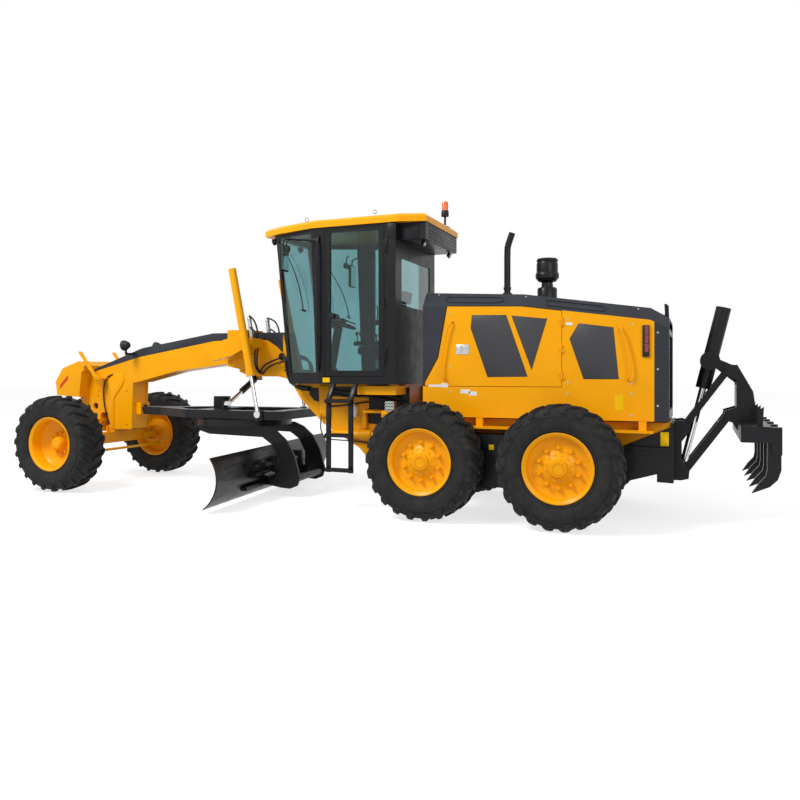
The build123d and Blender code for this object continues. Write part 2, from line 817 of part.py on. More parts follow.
LIFT_BARREL_START = 520
LIFT_ROD_END = 1200
LIFT_BORE_END = 1640
with BuildPart() as lift_barrel:
    add(bar(along_lift(LIFT_BARREL_START), along_lift(lift_length), LIFT_BARREL_R))
    add(bar(along_lift(LIFT_BARREL_START), along_lift(LIFT_BARREL_START + 90), LIFT_BARREL_R + 10))
    add(
        bar(along_lift(LIFT_BARREL_START - 1), along_lift(LIFT_BORE_END), LIFT_ROD_R + RUN_GAP),
        mode=Mode.SUBTRACT,
    )
    add(
        bar(
            (trunnion_x, ring_y[0], LIFT_TRUNNION_Z),
            (trunnion_x, LIFT_Y - LIFT_ROD_R - 10, LIFT_TRUNNION_Z),
            TRUNNION_R,
        )
    )
write(pair(lift_barrel.part), "lift_barrels")

LIFT_EYE_R = 46
LIFT_EYE_HALF = 24
with BuildPart() as lift_rod:
    add(bar(along_lift(0), along_lift(LIFT_ROD_END), LIFT_ROD_R))
    add(
        bar(
            (LIFT_EYE[0], LIFT_Y - LIFT_EYE_HALF, LIFT_EYE[1]),
            (LIFT_EYE[0], LIFT_Y + LIFT_EYE_HALF, LIFT_EYE[1]),
            LIFT_EYE_R,
        )
    )
write(pair(lift_rod.part), "lift_rods")

# ---- Centre-shift cylinder -----------------------------------------------------
shift_way = Vector(0, SHIFT_EYE[0] - SHIFT_PIVOT[0], SHIFT_EYE[1] - SHIFT_PIVOT[1])
shift_length = shift_way.length
shift_way = shift_way.normalized()


def along_shift(distance):
    """A point on the centre-shift cylinder's axis, measured from its pivot."""
    return (
        SHIFT_X,
        SHIFT_PIVOT[0] + shift_way.Y * distance,
        SHIFT_PIVOT[1] + shift_way.Z * distance,
    )


SHIFT_BARREL_END = 430
SHIFT_ROD_START = 210
with BuildPart() as shift_barrel:
    add(bar(along_shift(75), along_shift(SHIFT_BARREL_END), SHIFT_BARREL_R))
    add(bar(along_shift(0), along_shift(90), 24))
    add(
        bar(
            (SHIFT_X - SHIFT_EYE_HALF, *SHIFT_PIVOT),
            (SHIFT_X + SHIFT_EYE_HALF, *SHIFT_PIVOT),
            38,
        )
    )
    add(
        bar(
            (SHIFT_X - SHIFT_EYE_HALF - 1, *SHIFT_PIVOT),
            (SHIFT_X + SHIFT_EYE_HALF + 1, *SHIFT_PIVOT),
            18 + RUN_GAP,
        ),
        mode=Mode.SUBTRACT,
    )
    add(
        bar(along_shift(95), along_shift(SHIFT_BARREL_END + 1), SHIFT_ROD_R + RUN_GAP),
        mode=Mode.SUBTRACT,
    )
write(shift_barrel.part, "shift_barrel")

with BuildPart() as shift_rod:
    add(bar(along_shift(SHIFT_ROD_START), along_shift(shift_length), SHIFT_ROD_R))
    add(
        bar(
            (SHIFT_X - SHIFT_EYE_HALF, *SHIFT_EYE),
            (SHIFT_X + SHIFT_EYE_HALF, *SHIFT_EYE),
            40,
        )
    )
write(shift_rod.part, "shift_rod")

# ---- Drawbar -------------------------------------------------------------------
DRAWBAR_Z = (1045, 1160)
DRAWBAR_REAR_X = 876
GEARBOX_X = 2200
drawbar_plan = [
    (3540, -95),
    (3540, 95),
    (3150, 190),
    (2450, 520),
    (1250, 600),
    (DRAWBAR_REAR_X, 560),
    (DRAWBAR_REAR_X, -560),
    (1250, -600),
    (2450, -520),
    (3150, -190),
]
drawbar_window = [
    (2960, 0),
    (2480, 400),
    (1900, 400),
    (1100, 430),
    (1100, -430),
    (1900, -400),
    (2480, -400),
]
with BuildPart() as drawbar:
    add(flat_slab(drawbar_plan, DRAWBAR_Z))
    add(flat_slab(drawbar_window, (DRAWBAR_Z[0] - 5, DRAWBAR_Z[1] + 5)), mode=Mode.SUBTRACT)
    # Neck to the ball
    add(bar((3500, 0, 1110), (BALL_X, 0, BALL_Z), 46))
    with Locations((BALL_X, 0, BALL_Z)):
        Sphere(BALL_R)
    # Cross-member and turning gearbox in front of the circle's middle
    add(box((2080, 2320), (-430, 430), DRAWBAR_Z))
    add(bar((GEARBOX_X, 0, DRAWBAR_Z[1] - 5), (GEARBOX_X, 0, 1330), 120))
    # Guide pads over the circle
    for pad_x, pad_y in ((CIRCLE_X + 380, 460), (CIRCLE_X - 380, 480)):
        add(
            pair(
                box(
                    (pad_x - 60, pad_x + 60),
                    (pad_y - 40, pad_y + 60),
                    (CIRCLE_Z[1] + SEAT_GAP, DRAWBAR_Z[0]),
                )
            )
        )
    # Lugs for the lift rods
    lug_y = (LIFT_Y - LIFT_EYE_HALF - SEAT_GAP - 35, LIFT_Y - LIFT_EYE_HALF - SEAT_GAP)
    lug = [
        (LIFT_EYE[0] - 60, DRAWBAR_Z[0]),
        (LIFT_EYE[0] + 60, DRAWBAR_Z[0]),
        (LIFT_EYE[0] + 50, LIFT_EYE[1] + 50),
        (LIFT_EYE[0] - 50, LIFT_EYE[1] + 50),
    ]
    add(pair(side_slab(lug, lug_y)))
    # Lug for the centre-shift rod, ahead of its eye
    add(
        cross_slab(
            [
                (SHIFT_EYE[0] - 35, DRAWBAR_Z[1] - 5),
                (SHIFT_EYE[0] + 60, DRAWBAR_Z[1] - 5),
                (SHIFT_EYE[0] + 40, SHIFT_EYE[1] + 40),
                (SHIFT_EYE[0] - 40, SHIFT_EYE[1] + 40),
            ],
            (SHIFT_X + SHIFT_EYE_HALF + SHIFT_LUG_GAP, SHIFT_X + SHIFT_EYE_HALF + SHIFT_LUG_GAP + 30),
        )
    )
write(drawbar.part, "drawbar")


# ---- Circle, blade bracket and blade, set at the blade's angle ------------------
def on_circle(part):
    """Moves a piece from the circle's own axes to its place."""
    return part.moved(Location((CIRCLE_X, 0, 0), (0, 0, BLADE_ANGLE)))


ARM_Y = (450, 490)
ARM_BOSS_R = 60
PIVOT_PIN_R = 30
CIRCLE_ARM = [
    (460, 880),
    (460, CIRCLE_Z[0] + 5),
    (-560, CIRCLE_Z[0] + 5),
    (-700, 890),
    (-850, 760),
    (-960, 560),
    (-1040, 270),
    (-1000, 160),
    (-900, 120),
    (-760, 130),
    (BLADE_PIVOT_X, BLADE_PIVOT_Z - ARM_BOSS_R),
    (BLADE_PIVOT_X, BLADE_PIVOT_Z + ARM_BOSS_R),
    (-730, 330),
    (-730, 520),
    (-640, 700),
    (-500, 800),
    (300, 830),
]
with BuildPart() as circle:
    with BuildSketch(Plane.XY.offset(CIRCLE_Z[0])):
        Circle(CIRCLE_R)
        Circle(CIRCLE_BORE_R, mode=Mode.SUBTRACT)
    extrude(amount=CIRCLE_Z[1] - CIRCLE_Z[0])
    add(pair(side_slab(CIRCLE_ARM, ARM_Y)))
    for start, end, radius in (
        ((BLADE_PIVOT_X, ARM_Y[0], BLADE_PIVOT_Z), (BLADE_PIVOT_X, ARM_Y[1], BLADE_PIVOT_Z), ARM_BOSS_R),
        ((BLADE_PIVOT_X, ARM_Y[0] - 55, BLADE_PIVOT_Z), (BLADE_PIVOT_X, ARM_Y[0] + 5, BLADE_PIVOT_Z), PIVOT_PIN_R),
    ):
        add(pair(bar(start, end, radius)))
    add(bar((-960, -ARM_Y[1], 250), (-960, ARM_Y[1], 250), 50))
write(on_circle(circle.part), "circle")

# The blade's rails, as (x, z) ranges behind it
RAIL_UPPER = ((-600, -532), (480, 530))
RAIL_LOWER = ((-570, -490), (170, 220))
RAIL_HALF_LENGTH = 1100
GUIDE_Y = (340, ARM_Y[0] - 8)
SLIDE_GAP = 1
SHIFTER_X, SHIFTER_Z = -618, 360
SHIFTER_R = 38
SHIFTER_ROD_R = 20


def guide(rail_x, rail_z, back, front):
    """A channel round one rail, open towards the blade."""
    with BuildPart() as part:
        add(box((back, front), GUIDE_Y, (rail_z[0] - 18, rail_z[1] + 18)))
        add(
            box(
                (rail_x[0] - SLIDE_GAP, front + 1),
                (GUIDE_Y[0] - 1, GUIDE_Y[1] + 1),
                (rail_z[0] - SLIDE_GAP, rail_z[1] + SLIDE_GAP),
            ),
            mode=Mode.SUBTRACT,
        )
    return part.part


bracket_plate = [
    (BLADE_PIVOT_X - 48, BLADE_PIVOT_Z - 30),
    (BLADE_PIVOT_X, BLADE_PIVOT_Z - 58),
    (-600, 152),
    (-600, 240),
    (-660, 300),
    (-660, 462),
    (-630, 462),
    (-630, 548),
    (-700, 548),
    (BLADE_PIVOT_X - 55, BLADE_PIVOT_Z + 20),
]
with BuildPart() as blade_bracket:
    add(pair(side_slab(bracket_plate, GUIDE_Y)))
    add(pair(guide(*RAIL_UPPER, -650, -572)))
    add(pair(guide(*RAIL_LOWER, -620, -545)))
    add(
        pair(
            bar(
                (BLADE_PIVOT_X, ARM_Y[0] - 60, BLADE_PIVOT_Z),
                (BLADE_PIVOT_X, GUIDE_Y[1] + 1, BLADE_PIVOT_Z),
                PIVOT_PIN_R + RUN_GAP,
            )
        ),
        mode=Mode.SUBTRACT,
    )
    # Side-shift cylinder's barrel
    add(bar((SHIFTER_X, -700, SHIFTER_Z), (SHIFTER_X, 400, SHIFTER_Z), SHIFTER_R))
    add(pair(box((-700, SHIFTER_X), GUIDE_Y, (SHIFTER_Z - 30, SHIFTER_Z + 30))))
    add(
        bar((SHIFTER_X, -660, SHIFTER_Z), (SHIFTER_X, 450, SHIFTER_Z), SHIFTER_ROD_R + RUN_GAP),
        mode=Mode.SUBTRACT,
    )
write(on_circle(blade_bracket.part), "blade_bracket")

BLADE_EDGE = (-350, 50)
BLADE_BACK = (-532, 333)
BLADE_TOP = (-450, 660)
BLADE_THICK = 22
with BuildPart() as moldboard:
    with BuildSketch(side_plane(0)):
        with BuildLine():
            ThreePointArc(BLADE_EDGE, BLADE_BACK, BLADE_TOP)
            Line(BLADE_TOP, (BLADE_TOP[0] - 18, BLADE_TOP[1] + 10))
            ThreePointArc(
                (BLADE_TOP[0] - 18, BLADE_TOP[1] + 10),
                (BLADE_BACK[0] - BLADE_THICK, BLADE_BACK[1]),
                (BLADE_EDGE[0] - 20, BLADE_EDGE[1]),
            )
            Line((BLADE_EDGE[0] - 20, BLADE_EDGE[1]), BLADE_EDGE)
        make_face()
    extrude(amount=BLADE_LENGTH / 2, both=True)
    add(box(RAIL_UPPER[0], (-RAIL_HALF_LENGTH, RAIL_HALF_LENGTH), RAIL_UPPER[1]))
    add(box(RAIL_LOWER[0], (-RAIL_HALF_LENGTH, RAIL_HALF_LENGTH), RAIL_LOWER[1]))
    # Side-shift rod and its bracket
    add(bar((SHIFTER_X, -150, SHIFTER_Z), (SHIFTER_X, 990, SHIFTER_Z), SHIFTER_ROD_R))
    add(
        box(
            (SHIFTER_X - 30, BLADE_BACK[0] - 5),
            (960, 1000),
            (SHIFTER_Z - 30, SHIFTER_Z + 30),
        )
    )
write(on_circle(moldboard.part), "moldboard")

# ---- Front axle ----------------------------------------------------------------
KINGPIN_Y = 760
BEAM_X = (FRONT_X - 80, FRONT_X + 80)
BEAM_HALF = 560
BEAM_Z = (600, 760)
EAR_X = (85, 115)
EAR_R = 38
STUB_R = 24
FORK_Z = (75, 115)  # above and below the hub's height
WEB_Y = (118, 143)
LEAN_ARM = (0, 276)  # y and z of the lean bar's pin from the kingpin

with BuildPart() as front_axle:
    add(box(BEAM_X, (-BEAM_HALF, BEAM_HALF), BEAM_Z))
    add(box(BEAM_X, (-100, 100), (BEAM_Z[1] - 5, AXLE_PIN_Z + 45)))
    add(
        bar(
            (BEAM_X[0] - 1, 0, AXLE_PIN_Z),
            (BEAM_X[1] + 1, 0, AXLE_PIN_Z),
            AXLE_PIN_R + RUN_GAP,
        ),
        mode=Mode.SUBTRACT,
    )
    for low in (FRONT_X + EAR_X[0], FRONT_X - EAR_X[1]):
        high = low + EAR_X[1] - EAR_X[0]
        add(
            pair(
                box((low, high), (BEAM_HALF - 60, KINGPIN_Y), (HUB_Z - EAR_R, HUB_Z + EAR_R)),
                bar((low, KINGPIN_Y, HUB_Z), (high, KINGPIN_Y, HUB_Z), EAR_R),
            )
        )
    add(
        pair(
            box(
                (FRONT_X - EAR_X[1], FRONT_X + EAR_X[1]),
                (BEAM_HALF - 60, BEAM_HALF - 5),
                (HUB_Z - EAR_R, HUB_Z + EAR_R),
            )
        )
    )
    add(
        pair(
            bar(
                (FRONT_X - EAR_X[1] - 1, KINGPIN_Y, HUB_Z),
                (FRONT_X + EAR_X[1] + 1, KINGPIN_Y, HUB_Z),
                STUB_R + RUN_GAP,
            )
        ),
        mode=Mode.SUBTRACT,
    )
write(front_axle.part, "front_axle")


def rel_cross(points, x):
    """A slab from (y, z) points given from the kingpin's centre."""
    return cross_slab([(KINGPIN_Y + y, HUB_Z + z) for y, z in points], x)


lean_arm = [(-40, -25), (-40, 25), (-75, 60), (-75, 150), (30, 230), (30, 300), (-35, 300)]
lean_arm += [(-125, 190), (-125, 10), (-90, -25)]
lean_pin = (KINGPIN_Y + LEAN_ARM[0], HUB_Z + LEAN_ARM[1])
with BuildPart() as kingpin_block:
    add(bar((FRONT_X, KINGPIN_Y, HUB_Z - 70), (FRONT_X, KINGPIN_Y, HUB_Z + 70), 58))
    add(
        bar(
            (FRONT_X, KINGPIN_Y, HUB_Z - FORK_Z[1]),
            (FRONT_X, KINGPIN_Y, HUB_Z + FORK_Z[1]),
            STUB_R,
        )
    )
    add(
        bar(
            (FRONT_X - EAR_X[1], KINGPIN_Y, HUB_Z),
            (FRONT_X + EAR_X[1], KINGPIN_Y, HUB_Z),
            STUB_R,
        )
    )
    add(rel_cross(lean_arm, (FRONT_X - 20, FRONT_X + 20)))
    add(bar((FRONT_X + 15, *lean_pin), (FRONT_X + 65, *lean_pin), 15))
write(kingpin_block.part, "kingpin_block_left")
write(flipped(kingpin_block.part), "kingpin_block_right")

with BuildPart() as lean_bar:
    add(box((FRONT_X + 25, FRONT_X + 62), (-lean_pin[0], lean_pin[0]), (lean_pin[1] - 25, lean_pin[1] + 25)))
    for side in (1, -1):
        add(
            bar(
                (FRONT_X + 25, side * lean_pin[0], lean_pin[1]),
                (FRONT_X + 62, side * lean_pin[0], lean_pin[1]),
                30,
            )
        )
    for side in (1, -1):
        add(
            bar(
                (FRONT_X + 24, side * lean_pin[0], lean_pin[1]),
                (FRONT_X + 63, side * lean_pin[0], lean_pin[1]),
                15 + RUN_GAP,
            ),
            mode=Mode.SUBTRACT,
        )
write(lean_bar.part, "lean_bar")

STEER_ARM = 200
STEER_STUD_R = 15
ROD_Z = HUB_Z - 154
arm_z = (HUB_Z - FORK_Z[1], HUB_Z - FORK_Z[1] + 28)
with BuildPart() as knuckle:
    for low in (FORK_Z[0], -FORK_Z[1]):
        fork_z = (HUB_Z + low, HUB_Z + low + FORK_Z[1] - FORK_Z[0])
        add(box((FRONT_X - 30, FRONT_X + 30), (KINGPIN_Y, KINGPIN_Y + WEB_Y[1]), fork_z))
        add(bar((FRONT_X, KINGPIN_Y, fork_z[0]), (FRONT_X, KINGPIN_Y, fork_z[1]), 50))
    add(
        box(
            (FRONT_X - 30, FRONT_X + 30),
            (KINGPIN_Y + WEB_Y[0], KINGPIN_Y + WEB_Y[1]),
            (HUB_Z - FORK_Z[1], HUB_Z + FORK_Z[1]),
        )
    )
    add(
        bar(
            (FRONT_X, KINGPIN_Y + WEB_Y[1] - 5, HUB_Z),
            (FRONT_X, TRACK / 2 + 20, HUB_Z),
            SPINDLE_R,
        )
    )
    # Steering arm, running back to the tie rod
    add(box((FRONT_X - STEER_ARM, FRONT_X), (KINGPIN_Y - 28, KINGPIN_Y + 28), arm_z))
    add(
        bar(
            (FRONT_X - STEER_ARM, KINGPIN_Y, arm_z[0]),
            (FRONT_X - STEER_ARM, KINGPIN_Y, arm_z[1]),
            36,
        )
    )
    add(
        bar(
            (FRONT_X, KINGPIN_Y, HUB_Z - FORK_Z[1] - 1),
            (FRONT_X, KINGPIN_Y, HUB_Z + FORK_Z[1] + 1),
            STUB_R + RUN_GAP,
        ),
        mode=Mode.SUBTRACT,
    )
with BuildPart() as knuckle_right:
    add(flipped(knuckle.part))
    add(
        bar(
            (FRONT_X - STEER_ARM, -KINGPIN_Y, ROD_Z - 20),
            (FRONT_X - STEER_ARM, -KINGPIN_Y, arm_z[0] + 5),
            STEER_STUD_R,
        )
    )
write(knuckle.part, "knuckle_left")
write(knuckle_right.part, "knuckle_right")

with BuildPart() as tie_rod_end:
    add(
        box(
            (FRONT_X - STEER_ARM - 22, FRONT_X - STEER_ARM + 22),
            (KINGPIN_Y - 22, KINGPIN_Y + 22),
            (ROD_Z - 22, arm_z[0] - SEAT_GAP),
        )
    )
    add(
        bar(
            (FRONT_X - STEER_ARM - 37, KINGPIN_Y, ROD_Z),
            (FRONT_X - STEER_ARM + 37, KINGPIN_Y, ROD_Z),
            10,
        )
    )
write(tie_rod_end.part, "tie_rod_end")

with BuildPart() as tie_rod:
    for side in (1, -1):
        for low in (-37, 25):
            x = (FRONT_X - STEER_ARM + low, FRONT_X - STEER_ARM + low + 12)
            y = sorted((side * (KINGPIN_Y + 18), side * (KINGPIN_Y - 80)))
            add(box(x, y, (ROD_Z - 18, ROD_Z + 18)))
        y = sorted((side * (KINGPIN_Y - 60), side * (KINGPIN_Y - 85)))
        add(
            box(
                (FRONT_X - STEER_ARM - 37, FRONT_X - STEER_ARM + 37),
                y,
                (ROD_Z - 18, ROD_Z + 18),
            )
        )
    add(
        bar(
            (FRONT_X - STEER_ARM, -KINGPIN_Y + 80, ROD_Z),
            (FRONT_X - STEER_ARM, KINGPIN_Y - 80, ROD_Z),
            20,
        )
    )
    add(
        bar(
            (FRONT_X - STEER_ARM - 38, KINGPIN_Y, ROD_Z),
            (FRONT_X - STEER_ARM + 38, KINGPIN_Y, ROD_Z),
            10 + RUN_GAP,
        ),
        mode=Mode.SUBTRACT,
    )
write(tie_rod.part, "tie_rod")

# ---- Cab -----------------------------------------------------------------------
# Corners of the left half of the outline, at the sill and at the top
CAB_LOW = [(CAB_REAR_X, CAB_HALF), (235, CAB_HALF), (799, 505)]
CAB_HIGH = [(CAB_REAR_X, CAB_HALF), (312, CAB_HALF), (1024, 450)]


def cab_corners(z):
    """The left half of the cab's outline at height z."""
    share = (z - CAB_SILL_Z) / (CAB_TOP_Z - CAB_SILL_Z)
    return [
        (low[0] + (high[0] - low[0]) * share, low[1] + (high[1] - low[1]) * share)
        for low, high in zip(CAB_LOW, CAB_HIGH)
    ]


def cab_loft(low, high, inset):
    """The cab's form between two heights, `inset` inside its outer surface."""
    with BuildPart() as part:
        for z in (low, high):
            left = cab_corners(z)
            with BuildSketch(Plane.XY.offset(z)):
                with BuildLine():
                    Polyline(*left, *[(x, -y) for x, y in reversed(left)], close=True)
                make_face()
                if inset:
                    offset(amount=-inset, kind=Kind.INTERSECTION)
        loft(ruled=True)
    return part.part


def pane(corners, inset, depth, thickness):
    """A flat pane set `inset` inside a polygon and `depth` behind its face."""
    points = [Vector(*corner) for corner in corners]
    facing = (points[1] - points[0]).cross(points[-1] - points[0]).normalized()
    plane = Plane(origin=points[0], x_dir=points[1] - points[0], z_dir=facing)
    flat = [plane.to_local_coords(point) for point in points]
    with BuildPart() as part:
        with BuildSketch(plane.offset(-depth)):
            with BuildLine():
                Polyline(*[(point.X, point.Y) for point in flat], close=True)
            make_face()
            offset(amount=-inset, kind=Kind.INTERSECTION)
        extrude(amount=-thickness)
    return part.part


top = cab_corners(CAB_TOP_Z)
low_corners = cab_corners(CAB_SILL_Z)
windshield = [
    (*low_corners[2], CAB_SILL_Z),
    (*top[2], CAB_TOP_Z),
    (top[2][0], -top[2][1], CAB_TOP_Z),
    (low_corners[2][0], -low_corners[2][1], CAB_SILL_Z),
]
corner_left = [
    (*low_corners[1], CAB_SILL_Z),
    (*top[1], CAB_TOP_Z),
    (*top[2], CAB_TOP_Z),
    (*low_corners[2], CAB_SILL_Z),
]
REAR_WINDOW = ((-520, 520), (2500, 3090))
GLASS = 8
POST = 55
glass_set = 12  # how far the glass lies behind the outer face

cab_hinges = hinges(DOOR_X[0] + HINGE_SET, CAB_HALF, 12, (1760, 2480, 3200))

with BuildPart() as cab_frame:
    add(cab_loft(CAB_FLOOR_Z, CAB_TOP_Z, 0))
    add(cab_loft(CAB_FLOOR_Z + 70, CAB_TOP_Z + 1, CAB_WALL), mode=Mode.SUBTRACT)
    add(
        box(DOOR_X, (-CAB_HALF - 10, CAB_HALF + 10), DOOR_Z),
        mode=Mode.SUBTRACT,
    )
    add(pane(windshield, POST, -10, CAB_WALL + 60), mode=Mode.SUBTRACT)
    corner_cut = pane(corner_left, POST, -10, CAB_WALL + 60)
    add(corner_cut, mode=Mode.SUBTRACT)
    add(flipped(corner_cut), mode=Mode.SUBTRACT)
    add(
        box((CAB_REAR_X - 10, CAB_REAR_X + CAB_WALL + 10), *REAR_WINDOW),
        mode=Mode.SUBTRACT,
    )
    add(pair(cab_hinges[0]))
    # Air-conditioning box behind the cab, under the roof
    add(box((-1160, CAB_REAR_X + 5), (-620, 620), (3290, CAB_TOP_Z)))
write(cab_frame.part, "cab_frame")

with BuildPart() as cab_glass:
    add(pane(windshield, POST + SEAT_GAP, glass_set, GLASS))
    corner_glass = pane(corner_left, POST + SEAT_GAP, glass_set, GLASS)
    add(corner_glass)
    add(flipped(corner_glass))
    add(
        box(
            (CAB_REAR_X + glass_set, CAB_REAR_X + glass_set + GLASS),
            (REAR_WINDOW[0][0] + SEAT_GAP, REAR_WINDOW[0][1] - SEAT_GAP),
            (REAR_WINDOW[1][0] + SEAT_GAP, REAR_WINDOW[1][1] - SEAT_GAP),
        )
    )
write(cab_glass.part, "cab_glass")

ROOF = [(-1175, 625), (-860, 735), (330, 735), (900, 560), (1219, 400)]
ROOF_Z = (CAB_TOP_Z, 3600)
with BuildPart() as cab_roof:
    add(flat_slab([*ROOF, *[(x, -y) for x, y in reversed(ROOF)]], ROOF_Z))
    chamfer(cab_roof.faces().sort_by(Axis.Z)[-1].edges(), 35)
write(cab_roof.part, "cab_roof")

DOOR_THICK = 45
DOOR_FRAME = 70
door_y = (CAB_HALF - DOOR_THICK, CAB_HALF)
door_x = (DOOR_X[0] + DOOR_GAP, DOOR_X[1] - DOOR_GAP)
door_z = (DOOR_Z[0] + DOOR_GAP, DOOR_Z[1] - DOOR_GAP)
light_x = (door_x[0] + DOOR_FRAME, door_x[1] - DOOR_FRAME)
light_z = (door_z[0] + DOOR_FRAME, door_z[1] - DOOR_FRAME + 30)
with BuildPart() as cab_door:
    add(box(door_x, door_y, door_z))
    add(cab_hinges[1])
    add(box(light_x, (door_y[0] - 1, door_y[1] + 1), light_z), mode=Mode.SUBTRACT)
write(cab_door.part, "cab_door_left")
write(flipped(cab_door.part), "cab_door_right")

door_glass = box(
    (light_x[0] + SEAT_GAP, light_x[1] - SEAT_GAP),
    (door_y[1] - glass_set - GLASS, door_y[1] - glass_set),
    (light_z[0] + SEAT_GAP, light_z[1] - SEAT_GAP),
)
write(door_glass, "door_glass_left")
write(flipped(door_glass), "door_glass_right")

# ---- Operator's station --------------------------------------------------------
FLOOR_TOP = CAB_FLOOR_Z + 70
SEAT_X = (-560, -80)
WHEEL_HUB = (250, 0, 2370)
WHEEL_R = 190
WHEEL_TILT = 20
with BuildPart() as steering_wheel:
    with BuildSketch(Plane.XZ):
        with Locations((WHEEL_R, 0)):
            RegularPolygon(14, 6)
    revolve(axis=Axis.Z)
    with PolarLocations(WHEEL_R / 2, 3):
        Box(WHEEL_R, 24, 12)
with BuildPart() as operator_station:
    add(box((-500, -160), (-170, 170), (FLOOR_TOP, 1900)))
    add(box(SEAT_X, (-260, 260), (1900, 2020)))
    add(side_slab([(-560, 2000), (-440, 2000), (-520, 2560), (-620, 2560)], (-250, 250)))
    add(side_slab([(-530, 2560), (-610, 2560), (-635, 2740), (-555, 2740)], (-130, 130)))
    # Steering column and wheel
    add(side_slab([(380, FLOOR_TOP), (480, FLOOR_TOP), (330, 2340), (235, 2350)], (-60, 60)))
    add(bar((270, 0, 2310), WHEEL_HUB, 40))
    add(steering_wheel.part.moved(Location(WHEEL_HUB, (0, -WHEEL_TILT, 0))))
    # Joystick pods on both sides of the seat
    add(pair(box((-480, -60), (262, 360), (2020, 2080))))
    add(pair(box((-480, -380), (255, 330), (1960, 2030))))
write(operator_station.part, "operator_station")

# ---- Ladders, mirrors and lamps ------------------------------------------------
LADDER_X = (-295, 50)
LADDER_BAR = 50
LADDER_Y = (828, 842)
RUNG_Z = (480, 905, 1325)
RUNG_EDGE_Y = 900
ladder_side = [
    (LADDER_Y[0], 445),
    (LADDER_Y[1], 445),
    (LADDER_Y[1], 1352),
    (706, CAB_FLOOR_Z),
    (680, CAB_FLOOR_Z),
    (LADDER_Y[0], 1340),
]
with BuildPart() as ladders:
    for low in (LADDER_X[0], LADDER_X[1] - LADDER_BAR):
        add(pair(cross_slab(ladder_side, (low, low + LADDER_BAR))))
    for rung_z in RUNG_Z:
        add(pair(box(LADDER_X, (LADDER_Y[0], RUNG_EDGE_Y), (rung_z - 15, rung_z + 15))))
write(ladders.part, "ladders")

with BuildPart() as mirrors:
    add(pair(box((560, 600), (880, 1090), (2930, 3270))))
    add(pair(bar((262, 690, 3330), (580, 960, 3330), 12)))
    add(pair(bar((580, 960, 3260), (580, 960, 3342), 12)))
    add(cab_loft(CAB_FLOOR_Z, CAB_TOP_Z, 0), mode=Mode.SUBTRACT)
write(mirrors.part, "mirrors")

LAMP_X = 3650
with BuildPart() as lamps:
    # Headlamps on stalks beside the boom
    add(pair(bar((LAMP_X, BOOM_HALF, 1950), (LAMP_X, 350, 1950), 18)))
    add(pair(bar((LAMP_X, 350, 1935), (LAMP_X, 350, 2050), 16)))
    add(pair(bar((LAMP_X - 45, 350, 2070), (LAMP_X + 55, 350, 2070), 65)))
    # Beacon on its stalk
    add(bar((-1101, -300, ROOF_Z[1]), (-1101, -300, 3745), 14))
    add(bar((-1101, -300, 3740), (-1101, -300, 3940), 48))
write(lamps.part, "lamps")

# Arms beside the nose that mark the front wheels for the driver
ARM_FOOT = [(4150, 1572), (4270, 1572), (4262, 1640), (4190, 1640)]
ARM_BLADE = [(4190, 1600), (4262, 1600), (4560, 1972), (4570, 1990), (4500, 1992)]
with BuildPart() as marker_arms:
    add(pair(box((4150, 4270), (BOOM_HALF, 352), (1572, 1585))))
    add(pair(side_slab(ARM_FOOT, (336, 348))))
    add(pair(side_slab(ARM_BLADE, (346, 356))))
write(marker_arms.part, "marker_arms")

# ---- Ripper --------------------------------------------------------------------
RIPPER_PLATE_Y = (195, 235)
PIN_R = 26
LINK_END_R = 48
RIPPER_EYE_HALF = 40


def eye(x, z, y, radius):
    return bar((x, y[0], z), (x, y[1], z), radius)


lower_rear = (LINK_LOWER[0] + LINK_REACH[0], LINK_LOWER[1] + LINK_REACH[1])
upper_rear = (LINK_UPPER[0] + LINK_REACH[0], LINK_UPPER[1] + LINK_REACH[1])
GUSSET = [
    (REAR_PLATE_X - 10, 1090),
    (-3400, 850),
    (-3400, 455),
    (-3790, 570),
    (-3790, 485),
    (REAR_PLATE_X - 10, 480),
]
GUSSET_FLANGE_Z = (845, 865)
bracket_side = [
    (REAR_PLATE_X, 480),
    (REAR_PLATE_X, 1130),
    (-4030, 1150),
    (-4125, 1110),
    (-4125, 1030),
    (-4030, 900),
    (-4030, 720),
    (-4120, 610),
    (-4110, 500),
    (-4030, 480),
]
with BuildPart() as ripper_bracket:
    add(pair(side_slab(bracket_side, RIPPER_PLATE_Y)))
    add(box((REAR_PLATE_X - 30, REAR_PLATE_X), (-RAIL_Y[1] - 25, RAIL_Y[1] + 25), (480, 1130)))
    add(pair(side_slab(GUSSET, (RAIL_Y[1], RAIL_Y[1] + 25))))
    add(pair(box((REAR_PLATE_X, -3400), (RAIL_Y[1] + 20, RAIL_Y[1] + 90), GUSSET_FLANGE_Z)))
    for x, z in (LINK_LOWER, LINK_UPPER):
        add(pair(eye(x, z, (LINK_Y[0] - 5, RIPPER_PLATE_Y[1] + 10), PIN_R)))
    # Lugs beside the cylinder's foot
    foot = [
        (REAR_PLATE_X - 25, 520),
        (REAR_PLATE_X - 25, 760),
        (RIPPER_FOOT[0] - 50, RIPPER_FOOT[1] + 60),
        (RIPPER_FOOT[0] - 60, RIPPER_FOOT[1] - 50),
    ]
    add(pair(side_slab(foot, (RIPPER_EYE_HALF + SEAT_GAP, RIPPER_EYE_HALF + 25))))
write(ripper_bracket.part, "ripper_bracket")


